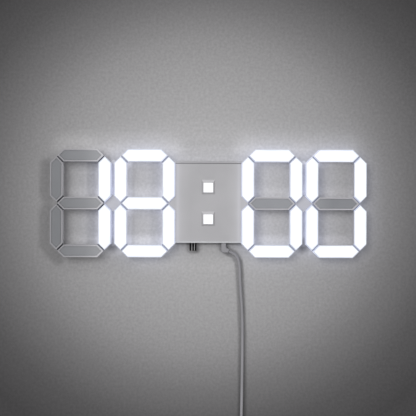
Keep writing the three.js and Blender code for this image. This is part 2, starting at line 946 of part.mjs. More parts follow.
// The cord's free stretch, from the plug down to the coil.
function cordRun() {
  const route = cordRoute.map(([x, depth, z]) => new THREE.Vector3(x, -depth, z));
  const path = new THREE.CatmullRomCurve3([cordStart, ...route], false, "centripetal");
  const section = new THREE.Shape(
    Array.from({ length: cordSides }, (_, i) => {
      const turn = (2 * Math.PI * i) / cordSides;
      const radius = cordDiameter / 2;
      return new THREE.Vector2(radius * Math.cos(turn), radius * Math.sin(turn));
    }),
  );
  const steps = Math.round(path.getLength() / (cordStepShare * cordDiameter));
  const geometry = new THREE.ExtrudeGeometry(section, {
    steps,
    extrudePath: path,
    bevelEnabled: false,
  });
  console.log(`cord_run: ${path.getLength().toFixed(1)} mm long`);
  return geometryOf(solid(geometry));
}

const coilOuter = coilMeanRadius + (coilPitch * coilTurns) / 4;
const coilInner = coilMeanRadius - (coilPitch * coilTurns) / 4;
const [runEndX, runEndDepth, runEndZ] = cordRoute[cordRoute.length - 1];
const coilX = runEndX + fit + cordDiameter;
const coilZ = runEndZ - coilOuter;
const coilFrontDepth = runEndDepth + coilPitch;

// The points of the coil: in along a spiral in the layer at the wall, over to the front layer
// in half a turn, and out again. It starts at the top, towards the right.
function coilPoints() {
  const steps = Math.round(coilTurns * coilStepsPerTurn);
  const points = [new THREE.Vector3(coilX - cordDiameter, -runEndDepth, coilZ + coilOuter)];
  for (let i = 0; i <= steps; i += 1) {
    const turn = (coilTurns * i) / steps;
    const fromMiddle = turn - coilTurns / 2;
    const radius = coilInner + coilPitch * Math.abs(fromMiddle);
    const climb = THREE.MathUtils.clamp(2 * fromMiddle + 1 / 2, 0, 1);
    const angle = Math.PI / 2 - 2 * Math.PI * turn;
    points.push(
      new THREE.Vector3(
        coilX + radius * Math.cos(angle),
        -runEndDepth - climb * coilPitch,
        coilZ + radius * Math.sin(angle),
      ),
    );
  }
  points.push(new THREE.Vector3(coilX + coilOuter, -coilFrontDepth, coilZ - cordDiameter));
  return points;
}

// The least gap between the surfaces of turns that aren't neighbours along the tube.
function leastGap(points) {
  const along = [0];
  for (let i = 1; i < points.length; i += 1) {
    along.push(along[i - 1] + points[i].distanceTo(points[i - 1]));
  }
  const span = new THREE.Line3();
  const foot = new THREE.Vector3();
  let least = Infinity;
  for (let i = 0; i < points.length; i += 1) {
    for (let j = i + 1; j < points.length - 1; j += 1) {
      if (along[j] - along[i] > nearShare * cordDiameter) {
        span.set(points[j], points[j + 1]).closestPointToPoint(points[i], true, foot);
        least = Math.min(least, foot.distanceTo(points[i]) - cordDiameter);
      }
    }
  }
  return { gap: least, length: along[along.length - 1] };
}

// A closed tube of few sides along points, with flat ends.
function tube(points, radius, sides) {
  const tangentAt = (i) =>
    points[Math.min(i + 1, points.length - 1)].clone().sub(points[Math.max(i - 1, 0)]).normalize();
  const outwards = new THREE.Vector3(0, 1, 0);
  const vertices = points.flatMap((point, i) => {
    const tangent = tangentAt(i);
    const first = outwards.clone().addScaledVector(tangent, -outwards.dot(tangent)).normalize();
    const second = new THREE.Vector3().crossVectors(tangent, first);
    return Array.from({ length: sides }, (_, k) => {
      const turn = (2 * Math.PI * k) / sides;
      return point
        .clone()
        .addScaledVector(first, radius * Math.cos(turn))
        .addScaledVector(second, radius * Math.sin(turn));
    });
  });
  const faces = [];
  const last = (points.length - 1) * sides;
  for (let i = 0; i < points.length - 1; i += 1) {
    for (let k = 0; k < sides; k += 1) {
      const a = i * sides + k;
      const b = i * sides + ((k + 1) % sides);
      faces.push(a, b, b + sides, a, b + sides, a + sides);
    }
  }
  for (let k = 1; k < sides - 1; k += 1) {
    faces.push(0, k + 1, k);
    faces.push(last, last + k, last + k + 1);
  }
  const geometry = new THREE.BufferGeometry().setFromPoints(vertices);
  geometry.setIndex(faces);
  return geometry;
}

function cordCoil() {
  const points = coilPoints();
  const { gap, length } = leastGap(points);
  console.log(`cord_coil: ${length.toFixed(1)} mm long, least gap to itself ${gap.toFixed(2)} mm`);
  return geometryOf(solid(tube(points, cordDiameter / 2, coilSides)));
}

// The tie, a band round all the coil's turns. It is drawn on the right and turned round the coil.
function cordTie() {
  const radius = cordDiameter / 2;
  const innerTube = coilInner - radius;
  const near = Math.sqrt(innerTube ** 2 - (tieWidth / 2) ** 2) - fit;
  const far = coilOuter + radius + fit;
  const back = runEndDepth - radius - fit;
  const front = coilFrontDepth + radius + fit;
  const band = block(
    near - tieThickness,
    far + tieThickness,
    back - tieThickness,
    front + tieThickness,
    -tieWidth / 2,
    tieWidth / 2,
  );
  const inside = block(near, far, back, front, -tieWidth, tieWidth);
  return geometryOf(band.subtract(inside));
}

// The plug on the far end: tapered relief, grip and hollow metal shell with its tongue.
function farPlug() {
  const x = coilX + coilOuter;
  const top = coilZ - cordDiameter - fit;
  const gripTop = top - reliefLength;
  const gripBottom = gripTop - gripLength;
  const metalBottom = gripBottom - metalLength;
  const bar = (width, thickness, z0, z1) =>
    block(
      x - width / 2,
      x + width / 2,
      coilFrontDepth - thickness / 2,
      coilFrontDepth + thickness / 2,
      z0,
      z1,
    );
  const relief = column(x, coilFrontDepth, gripTop - bond, top, reliefEnd, reliefStart, 10);
  const grip = bar(gripWidth, gripThickness, gripBottom, gripTop);
  const metal = bar(metalWidth, metalThickness, metalBottom, gripBottom + bond).subtract(
    bar(
      metalWidth - 2 * metalWall,
      metalThickness - 2 * metalWall,
      metalBottom - overrun,
      gripBottom,
    ),
  );
  const tongueDepth = coilFrontDepth - metalThickness / 2 + metalWall - bond;
  const tongue = block(
    x - metalWidth / 2 + 2 * metalWall,
    x + metalWidth / 2 - 2 * metalWall,
    tongueDepth,
    tongueDepth + tongueThickness,
    metalBottom + metalWall,
    gripBottom + bond,
  );
  return geometryOf(joined([relief, grip, metal, tongue]));
}

// The centre body with everything in it.
function centreBody() {
  const group = new THREE.Group();
  group.add(piece("centre_front_cover", centreFrontCover(), whitePlastic));
  group.add(piece("centre_rear_cover", centreRearCover(), greyPlastic));
  group.add(piece("colon_diffuser", colonDiffuser(), litDiffuser));
  group.add(piece("main_board", mainBoard(), boardLacquer));
  group.add(piece("coin_cell", coinCell(), steel));
  group.add(piece("power_socket", powerSocket(), blackPlastic));
  screwPlaces.forEach(([x, z], i) => {
    const screw = piece(`cover_screw_${i + 1}`, coverScrew(), zinc);
    screw.position.set(x, -screwSink, z);
    group.add(screw);
  });
  ["button_left", "button_middle", "button_right"].forEach((name, i) => {
    const mesh = piece(name, button(), blackPlastic);
    mesh.position.x = buttonPlaces[i];
    group.add(mesh);
  });
  return group;
}

// The power lead: plug, cord, tie and the plug on the far end.
function powerLead() {
  const group = new THREE.Group();
  group.add(piece("power_plug", powerPlug(), whiteCord));
  group.add(piece("cord_run", cordRun(), whiteCord));
  group.add(piece("cord_coil", cordCoil(), whiteCord));
  group.add(piece("far_plug", farPlug(), whiteCord));
  const tie = piece("cord_tie", cordTie(), whiteCord);
  tie.position.set(coilX, 0, coilZ);
  tie.rotation.y = -THREE.MathUtils.degToRad(tieAngle);
  group.add(tie);
  return group;
}

const clock = new THREE.Group();
digits.forEach((spec) => clock.add(digit(spec)));
clock.add(piece("mounting_rail", mountingRail(), whitePlastic));
clock.add(piece("wiring_loom", wiringLoom(), whiteCord));
clock.add(centreBody());
clock.add(powerLead());

export default clock;
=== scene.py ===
"""Looks of the digital wall clock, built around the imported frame.

The clock hangs on the plane y = 0 and faces -Y, with +X to the right and +Z up. Sizes are in
millimetres and follow the frame; a depth is a distance from the wall, so a depth d lies at y = -d.
Every shape is modelled in millimetres and turned to metres when its piece is made.
"""

import logging
import math
from dataclasses import dataclass
from enum import Enum
from functools import cache
from typing import Any, Callable, Sequence

import bmesh
import bpy
from mathutils import Matrix, Vector


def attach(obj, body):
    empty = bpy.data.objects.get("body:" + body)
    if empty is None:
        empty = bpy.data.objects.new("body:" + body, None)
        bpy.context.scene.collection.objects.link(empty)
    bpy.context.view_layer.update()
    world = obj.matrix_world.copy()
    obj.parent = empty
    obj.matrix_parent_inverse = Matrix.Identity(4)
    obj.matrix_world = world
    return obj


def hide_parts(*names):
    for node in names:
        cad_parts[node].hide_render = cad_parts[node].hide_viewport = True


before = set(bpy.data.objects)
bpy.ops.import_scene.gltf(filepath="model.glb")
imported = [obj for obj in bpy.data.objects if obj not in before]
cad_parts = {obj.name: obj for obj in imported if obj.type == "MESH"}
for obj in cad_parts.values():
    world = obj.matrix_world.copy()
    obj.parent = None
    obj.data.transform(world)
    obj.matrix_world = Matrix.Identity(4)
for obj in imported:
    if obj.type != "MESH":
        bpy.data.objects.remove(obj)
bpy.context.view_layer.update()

log = logging.getLogger("wall_clock")

Outline = list[tuple[float, float]]
Point = Sequence[float]
Stops = tuple[tuple[float, str], ...]
Shape = bmesh.types.BMesh
Piece = bpy.types.Object
Face = bpy.types.MeshPolygon
Node = bpy.types.Node
Tree = bpy.types.NodeTree
Material = bpy.types.Material

MM = 0.001
QUARTER = math.pi / 2
# Corners closer than this, in millimetres, are one.
MERGE = 0.001
# How far a normal points along an axis on a face that lies flat to it, or that slopes.
FLAT = 0.9
SLOPING = 0.3
# The slot that the rail lies in, from the wall to its depth, and half its height.
RAIL_SLOT_DEPTH = 6.2
RAIL_SLOT_HALF = 6.8
# A cutter reaches this far past what it cuts.
PAST = 1.0


class Body(Enum):
    """The frame's moving bodies."""

    CLOCK = "clock_body"
    LEFT_BUTTON = "left_button"
    MIDDLE_BUTTON = "middle_button"
    RIGHT_BUTTON = "right_button"
    LEAD = "power_lead"


class Slot(Enum):
    """The record's material slots, one given with each new piece."""

    HOUSING = "white_housing"
    COVER = "grey_cover"
    LIT = "lit_diffuser"
    UNLIT = "unlit_diffuser"
    BLACK = "black_plastic"
    CORD = "white_cord"
    STEEL = "steel"
    SCREW = "zinc_screw"


class Lay(Enum):
    """How a segment lies in its digit."""

    ACROSS = "across"
    UPRIGHT = "upright"


# Finishes


def linear(colour: str) -> tuple[float, float, float, float]:
    """Turns an sRGB hex colour into linear light.

    Args:
        colour: six hex digits after a hash.

    Returns:
        The linear red, green and blue, with full alpha.
    """
    levels = [int(colour[i : i + 2], 16) / 255 for i in (1, 3, 5)]
    light = [v / 12.92 if v <= 0.04045 else ((v + 0.055) / 1.055) ** 2.4 for v in levels]
    return (light[0], light[1], light[2], 1.0)


def add_node(
    tree: Tree,
    kind: str,
    inputs: dict[str | int, Any] | None = None,
    stops: Stops = (),
    **settings: Any,
) -> Node:
    """Adds one node with its settings and links.

    Args:
        tree: the node tree that gets it.
        kind: its type's name, after ShaderNode.
        inputs: what each input socket gets, by name or place: a number, a hex colour, the socket
            that feeds it, or the node whose first socket does.
        stops: places on a colour ramp with their hex colours.
        settings: attributes of the node.

    Returns:
        The new node.
    """
    node = tree.nodes.new(f"ShaderNode{kind}")
    for name, value in settings.items():
        setattr(node, name, value)
    for name, value in (inputs or {}).items():
        source = value.outputs[0] if isinstance(value, Node) else value
        if isinstance(source, bpy.types.NodeSocket):
            tree.links.new(source, node.inputs[name])
        else:
            node.inputs[name].default_value = linear(value) if isinstance(value, str) else value
    if stops:
        elements = node.color_ramp.elements
        for place, _ in stops[2:]:
            elements.new(place)
        for element, (place, colour) in zip(elements, stops):
            element.position = place
            element.color = linear(colour)
    return node


def grains(place: Any, size_mm: float, detail: float = 2.0) -> dict[str | int, Any]:
    """Gives the inputs of noise whose grains have a real size.

    Args:
        place: the socket of the place on the piece.
        size_mm: the size of a grain.
        detail: how many finer layers it has.

    Returns:
        What each input socket gets.
    """
    return {"Vector": place, "Scale": 1.0 / (size_mm * MM), "Detail": detail, "Roughness": 0.55}


@dataclass(frozen=True)
class Finish:
    """A finish: what the surface is made of and how it looks."""

    name: str

    def surface(self, tree: Tree, place: Any) -> Node:
        """Adds the nodes of the surface.

        Args:
            tree: the material's node tree.
            place: the socket of the place on the piece.

        Returns:
            The shader.
        """
        raise NotImplementedError

    def build(self) -> Material:
        """Builds the material.

        Returns:
            The finished material.
        """
        material = bpy.data.materials.new(self.name)
        material.use_nodes = True
        tree = material.node_tree
        tree.nodes.clear()
        place = add_node(tree, "TexCoord").outputs["Object"]
        add_node(tree, "OutputMaterial", {"Surface": self.surface(tree, place)})
        return material


@dataclass(frozen=True)
class MouldedPlastic(Finish):
    """A moulded plastic with the fine spark-eroded grain of its mould, and where given a painted
    side glow.
    """

    light: str
    dark: str
    roughness: float
    grain_mm: float = 0.45
    grain_height_mm: float = 0.02
    ior: float = 1.53
    shine: float = 0.5
    reach_mm: float = 62.0
    painted_side_glow: Stops = ()
    cloud_mm: float = 38.0
    uneven: float = 0.06

    def surface(self, tree: Tree, place: Any) -> Node:
        """Adds the nodes of the plastic.

        Args:
            tree: the material's node tree.
            place: the socket of the place on the piece.

        Returns:
            The shader.
        """
        # Slow shifts in tone, as where the melt cooled, keep large faces from looking dead flat.
        clouds = add_node(tree, "TexNoise", grains(place, self.cloud_mm, 1.0))
        tones = ((0.35, self.dark), (0.65, self.light))
        # The real grain is near 0.1 mm; it is drawn coarser so that it shows in the render.
        fine = add_node(tree, "TexNoise", grains(place, self.grain_mm))
        low, high = self.roughness - self.uneven, self.roughness + self.uneven
        height = {"Strength": 0.5, "Distance": self.grain_height_mm * MM, "Height": fine}
        inputs = {
            "Base Color": add_node(tree, "ValToRGB", {"Fac": clouds}, tones),
            "Roughness": add_node(tree, "MapRange", {"Value": fine, "To Min": low, "To Max": high}),
            "Normal": add_node(tree, "Bump", height),
            "IOR": self.ior,
            "Specular IOR Level": self.shine,
        }
        if self.painted_side_glow:
            # Painted glow: an emission set by the distance from the clock's middle stands in for
            # the digits' light on both sides.
            across = add_node(tree, "SeparateXYZ", {"Vector": place})
            off = add_node(tree, "Math", {0: across}, operation="ABSOLUTE")
            share = add_node(tree, "MapRange", {"Value": off, "From Max": self.reach_mm * MM})
            inputs["Emission Color"] = add_node(tree, "ValToRGB", {"Fac": share}, self.painted_side_glow)
            inputs["Emission Strength"] = 1.0
        return add_node(tree, "BsdfPrincipled", inputs)


@dataclass(frozen=True)
class GlowingPlastic(Finish):
    """Opal plastic lit by the lamps behind it, or white plastic with a painted glow."""

    colour: str
    strength: float
    bright: str = "#b4bbd6"
    dim: str = "#a6adc9"
    cloud_mm: float = 14.0
    grain_mm: float = 0.5
    grain_height_mm: float = 0.01

    def surface(self, tree: Tree, place: Any) -> Node:
        """Adds the nodes of the plastic and its light.

        Args:
            tree: the material's node tree.
            place: the socket of the place on the piece.

        Returns:
            The shader.
        """
        # The pigment spreads the light, so only faint soft clouds of it can be told apart.
        clouds = add_node(tree, "TexNoise", grains(place, self.cloud_mm, 0.0))
        glow = add_node(tree, "ValToRGB", {"Fac": clouds}, ((0.3, self.dim), (0.6, self.bright)))
        fine = add_node(tree, "TexNoise", grains(place, self.grain_mm))
        height = {"Strength": 0.3, "Distance": self.grain_height_mm * MM, "Height": fine}
        inputs = {
            "Base Color": self.colour,
            "Roughness": 0.4,
            "IOR": 1.58,
            "Normal": add_node(tree, "Bump", height),
            "Emission Color": glow,
            "Emission Strength": self.strength,
        }
        return add_node(tree, "BsdfPrincipled", inputs)


@dataclass(frozen=True)
class PlatedMetal(Finish):
    """Bright plated metal with fine drawn lines."""

    colour: str
    roughness: float
    line_mm: float = 0.25
    stretch: float = 0.05

    def surface(self, tree: Tree, place: Any) -> Node:
        """Adds the nodes of the metal.

        Args:
            tree: the material's node tree.
            place: the socket of the place on the piece.

        Returns:
            The shader.
        """
        drawn = add_node(tree, "Mapping", {"Vector": place, "Scale": (1.0, 1.0, self.stretch)})
        scale = 1.0 / (self.line_mm * MM)
        lines = add_node(tree, "TexNoise", {"Vector": drawn, "Scale": scale, "Detail": 1.0})
        low, high = self.roughness - 0.08, self.roughness + 0.1
        rough = add_node(tree, "MapRange", {"Value": lines, "To Min": low, "To Max": high})
        inputs = {"Base Color": self.colour, "Metallic": 1.0, "Roughness": rough}
        return add_node(tree, "BsdfPrincipled", inputs)


@dataclass(frozen=True)
class SolderMask(Finish):
    """A circuit board's green lacquer over its copper tracks."""

    mask: str
    track: str
    track_mm: float = 2.0

    def surface(self, tree: Tree, place: Any) -> Node:
        """Adds the nodes of the lacquer.

        Args:
            tree: the material's node tree.
            place: the socket of the place on the piece.

        Returns:
            The shader.
        """
        tracks = {
            "Vector": place,
            "Color1": self.mask,
            "Color2": self.mask,
            "Mortar": self.track,
            "Scale": 1.0 / (self.track_mm * 4 * MM),
            "Mortar Size": 0.03,
        }
        cells = add_node(tree, "TexBrick", tracks, offset=0.3)
        inputs = {"Base Color": cells, "Roughness": 0.3, "IOR": 1.5, "Coat Weight": 0.4}
        return add_node(tree, "BsdfPrincipled", inputs)


@dataclass(frozen=True)
class Shade:
    """A soft painted shadow on the wall along a line, or a painted glow where its depth is above 1.
    """

    line_mm: tuple[tuple[float, float], ...]
    inner_mm: float
    outer_mm: float
    depth: float

    def build(self, tree: Tree, place: Node) -> Node:
        """Adds the nodes that measure the distance from the line and turn it to a painted shade or
        glow.

        Args:
            tree: the node tree.
            place: the place on the wall.

        Returns:
            The factor that the paint is darkened or brightened by.
        """
        least = None
        for start, end in zip(self.line_mm, self.line_mm[1:]):
            origin = Vector((start[0], 0.0, start[1])) * MM
            run = Vector((end[0], 0.0, end[1])) * MM - origin
            unit = run / run.length_squared
            off = add_node(tree, "VectorMath", {0: place, 1: origin}, operation="SUBTRACT")
            along = add_node(tree, "VectorMath", {0: off, 1: unit}, operation="DOT_PRODUCT")
            held = add_node(tree, "Clamp", {"Value": along.outputs["Value"]})
            foot = add_node(tree, "VectorMath", {0: run, "Scale": held}, operation="SCALE")
            away = add_node(tree, "VectorMath", {0: off, 1: foot}, operation="DISTANCE")
            gap = away.outputs["Value"]
            if least is None:
                least = gap
            else:
                least = add_node(tree, "Math", {0: least, 1: gap}, operation="MINIMUM")
        inputs = {
            "Value": least,
            "From Min": self.inner_mm * MM,
            "From Max": self.outer_mm * MM,
            "To Min": self.depth,
            "To Max": 1.0,
        }
        return add_node(tree, "MapRange", inputs, interpolation_type="SMOOTHSTEP")


# The lines of the two longest painted shadows, as x and z.
PAINTED_CORD_SHADOW = (
    (23.0, -60.0),
    (23.0, -68.0),
    (31.0, -73.0),
    (40.0, -77.5),
    (46.2, -88.0),
    (47.8, -101.0),
    (50.3, -145.0),
    (52.4, -200.0),
    (52.2, -330.0),
)
LEFT_FOOT_PAINTED_SHADOW = ((-244.5, -9.0), (-247.5, -14.0), (-247.5, -62.0), (-238.0, -76.0), (-228.0, -84.0))
PAINTED_SHADES = (
    # Painted shadows close beside the lead and the buttons.
    Shade(PAINTED_CORD_SHADOW, 4.5, 8.5, 0.7),
    Shade(((-26.5, -62.0), (-26.5, -69.5), (-19.5, -69.5), (-19.5, -62.0)), 3.5, 9.0, 0.68),
    # Painted light on the wall between the buttons.
    Shade(((-24.6, -60.5), (-24.6, -70.0)), 0.4, 0.9, 1.35),
    Shade(((-20.75, -60.5), (-20.75, -70.0)), 0.3, 0.7, 2.8),
    # Painted shadows under the body's bottom: one close and a wide faint one.
    Shade(((-49.0, -59.4), (49.0, -59.4)), 1.8, 4.5, 0.66),
    Shade(((-49.0, -59.4), (49.0, -59.4)), 4.0, 40.0, 0.84),
    # Painted glow up the wall over the lit tops of the digits, most of all past digit 1.
    Shade(((-215.0, 84.0), (-62.0, 84.0)), 3.0, 34.0, 1.12),
    Shade(((62.0, 84.0), (208.0, 84.0)), 3.0, 34.0, 1.12),
    Shade(((-215.0, 84.0), (-190.0, 84.0)), 3.0, 32.0, 1.16),
    # Painted shade on the wall below the unlit foot of digit 1.
    Shade(((-220.0, -84.0), (-125.0, -84.0)), 4.0, 30.0, 0.92),
    # A soft painted shadow on the wall to the left of digit 1.
    Shade(((-246.0, 58.0), (-247.5, 16.0), (-244.5, 9.0)), 4.0, 14.0, 0.78),
    Shade(LEFT_FOOT_PAINTED_SHADOW, 4.0, 14.0, 0.78),
    # Painted glow in the windows, brightest above the segment at their foot.
    Shade(((-215.0, 9.5), (212.0, 9.5)), 3.0, 24.0, 1.28),
    Shade(((-215.0, -62.3), (-72.0, -62.3)), 3.0, 22.0, 1.28),
    Shade(((72.0, -62.3), (212.0, -62.3)), 3.0, 22.0, 1.2),
    # Painted glow on the wall under the segment over a window.
    Shade(((-122.0, 62.3), (-69.0, 62.3)), 1.0, 12.0, 1.35),
    Shade(((-122.0, -9.5), (-69.0, -9.5)), 1.0, 12.0, 1.35),
    Shade(((69.0, 62.3), (122.0, 62.3)), 1.0, 12.0, 1.25),
    Shade(((165.0, 62.3), (218.0, 62.3)), 1.0, 12.0, 1.5),
    # Painted shade a few millimetres inside the columns.
    Shade(((-177.0, -60.0), (-177.0, 60.0)), 3.0, 11.0, 0.78),
    Shade(((-80.5, -60.0), (-80.5, 60.0)), 3.0, 11.0, 0.89),
    Shade(((78.5, -60.0), (78.5, 60.0)), 2.0, 9.0, 0.9),
    Shade(((173.5, -60.0), (173.5, 60.0)), 2.0, 9.0, 0.92),
    # Painted glow on the wall beside the left column of digit 2.
    Shade(((-121.0, -60.0), (-121.0, 60.0)), 0.5, 9.0, 1.5),
    # Painted glow on the strip of wall between two digits side by side.
    Shade(((-143.75, -62.0), (-143.75, 62.0)), 2.5, 4.5, 1.33),
    Shade(((143.75, -62.0), (143.75, 62.0)), 2.5, 4.5, 1.27),
    # The strips end in painted shade under the corners below.
    Shade(((-143.75, -63.5), (-143.75, -59.0)), 2.0, 16.0, 0.55),
    Shade(((143.75, -65.0), (143.75, -60.0)), 2.0, 15.0, 0.48),
    # Painted glow up the wall from the body's top edge, under a slightly darker painted band.
    Shade(((-46.0, 62.5), (46.0, 62.5)), 4.0, 11.0, 1.15),
    Shade(((-28.0, 85.0), (28.0, 85.0)), 4.0, 13.0, 0.94),
)


@dataclass(frozen=True)
class WallPaint(Finish):
    """Rolled matt wall paint that shows only from the room, with painted shade and glow round the
    clock.
    """

    # Painted shade: the paint darkens away from this middle, over this reach and stretch, by these
    # tones.
    middle_mm: tuple[float, float] = (-9.0, 11.0)
    reach_mm: float = 420.0
    stretch: tuple[float, float] = (0.96, 1.01)
    tones: Stops = (
        (0.0, "#b5b4b5"),
        (0.27, "#b2b1b2"),
        (0.38, "#aaa9aa"),
        (0.48, "#a2a1a2"),
        (0.57, "#979697"),
        (0.64, "#898889"),
        (0.71, "#7a797a"),
        (0.81, "#676667"),
        (0.86, "#5d5c5d"),
        (1.0, "#4b4a4b"),
    )
    # The box round the lit digits, and the reach and colours of the painted glow round it.
    lit_low_mm: tuple[float, float] = (-165.0, -45.0)
    lit_high_mm: tuple[float, float] = (208.0, 68.0)
    halo_mm: float = 60.0
    halo: Stops = (
        (0.0, "#3a3a3c"),
        (0.1, "#505053"),
        (0.25, "#565659"),
        (0.4, "#3a3a3c"),
        (0.7, "#202021"),
        (1.0, "#000000"),
    )
    mark_mm: float = 4.0
    mark_depth: float = 0.24
    grit_mm: float = 2.2
    grit_height_mm: float = 0.25

    def surface(self, tree: Tree, place: Any) -> Node:
        """Adds the nodes of the paint and the painted light and shade on it.

        Args:
            tree: the material's node tree.
            place: the socket of the place on the piece.

        Returns:
            The shader.
        """
        x, z = (value * MM for value in self.middle_mm)
        wide, tall = self.stretch
        # Painted shade: the paint darkens away from the clock, for the light falling off in the
        # room.
        shift = {"Location": (-x * wide, 0.0, -z * tall), "Scale": (wide, 0.0, tall)}
        offset = add_node(tree, "Mapping", {"Vector": place, **shift})
        far = add_node(tree, "VectorMath", {0: offset}, operation="LENGTH").outputs["Value"]
        fall = add_node(tree, "MapRange", {"Value": far, "From Max": self.reach_mm * MM})
        tone = add_node(tree, "ValToRGB", {"Fac": fall}, self.tones)
        # A painted glow round the lit digits.
        glow = add_node(tree, "ValToRGB", {"Fac": self.past_light(tree, place)}, self.halo)
        lit = add_node(tree, "VectorMath", {0: tone, 1: glow}, operation="ADD")
        # Roller marks: faint blotches a few millimetres across.
        blots = add_node(tree, "TexNoise", grains(place, self.mark_mm, 6.0))
        span = {"To Min": 1.0 - self.mark_depth, "To Max": 1.0 + self.mark_depth}
        marks = add_node(tree, "MapRange", {"Value": blots, **span})
        shaded = add_node(tree, "VectorMath", {0: lit, "Scale": marks}, operation="SCALE")
        # Painted shadows and glows along lines.
        flat = add_node(tree, "VectorMath", {0: place, 1: (1.0, 0.0, 1.0)}, operation="MULTIPLY")
        for shade in PAINTED_SHADES:
            depth = shade.build(tree, flat)
            shaded = add_node(tree, "VectorMath", {0: shaded, "Scale": depth}, operation="SCALE")
        grit = add_node(tree, "TexNoise", grains(place, self.grit_mm, 3.0))
        height = {"Strength": 0.35, "Distance": self.grit_height_mm * MM, "Height": grit}
        bump = add_node(tree, "Bump", height)
        matt = add_node(tree, "BsdfDiffuse", {"Roughness": 0.6, "Color": shaded, "Normal": bump})
        # Lamps behind the wall reach the clock's back, and a view from behind sees through it.
        behind = add_node(tree, "NewGeometry").outputs["Backfacing"]
        shadow = add_node(tree, "LightPath").outputs["Is Shadow Ray"]
        hidden = add_node(tree, "Math", {0: behind, 1: shadow}, operation="MAXIMUM")
        clear = add_node(tree, "BsdfTransparent")
        return add_node(tree, "MixShader", {0: hidden, 1: matt, 2: clear})

    def past_light(self, tree: Tree, place: Any) -> Node:
        """Measures how far a place on the wall lies outside the lit digits.

        Args:
            tree: the node tree.
            place: the place's socket.

        Returns:
            The distance as a share of the painted halo's reach.
        """
        ends = list(zip(self.lit_low_mm, self.lit_high_mm))
        x, z = (-(a + b) / 2 * MM for a, b in ends)
        half_x, half_z = ((b - a) / 2 * MM for a, b in ends)
        shift = {"Location": (x, 0.0, z), "Scale": (1.0, 0.0, 1.0)}
        offset = add_node(tree, "Mapping", {"Vector": place, **shift})
        away = add_node(tree, "VectorMath", {0: offset}, operation="ABSOLUTE")
        half = (half_x, 0.0, half_z)
        past = add_node(tree, "VectorMath", {0: away, 1: half}, operation="SUBTRACT")
        none = (0.0, 0.0, 0.0)
        outside = add_node(tree, "VectorMath", {0: past, 1: none}, operation="MAXIMUM")
        gap = add_node(tree, "VectorMath", {0: outside}, operation="LENGTH").outputs["Value"]
        return add_node(tree, "MapRange", {"Value": gap, "From Max": self.halo_mm * MM})


# Painted glow for the lit neighbours' light on the front cover, the unlit faces and their rims,
# from the middle of the clock outwards.
PAINTED_COVER_GLOW = (
    (0.43, "#000000"),
    (0.56, "#232324"),
    (0.635, "#343436"),
    (0.685, "#424245"),
    (0.73, "#57575c"),
    (0.755, "#55555a"),
    (0.78, "#48484c"),
    (0.81, "#38383b"),
    (1.0, "#414145"),
)
PAINTED_FACE_GLOW = (
    (0.66, "#6c6c6e"),
    (0.708, "#656567"),
    (0.771, "#515153"),
    (0.833, "#434345"),
    (0.92, "#272728"),
    (1.0, "#202021"),
)
PAINTED_RIM_GLOW = (
    (0.66, "#88888a"),
    (0.708, "#7c7c7e"),
    (0.771, "#555557"),
    (0.833, "#3f3f40"),
    (0.92, "#1a1a1a"),
    (0.97, "#000000"),
)
# Painted glow on unlit faces beside lit ones, and an even painted glow on the cord.
PAINTED_BESIDE_GLOW = ((0.66, "#434345"), (0.78, "#000000"))
PAINTED_CORD_GLOW = ((0.0, "#2a2a2b"), (1.0, "#2a2a2b"))
SMOKED = {"ior": 1.58, "grain_height_mm": 0.008, "reach_mm": 240.0}


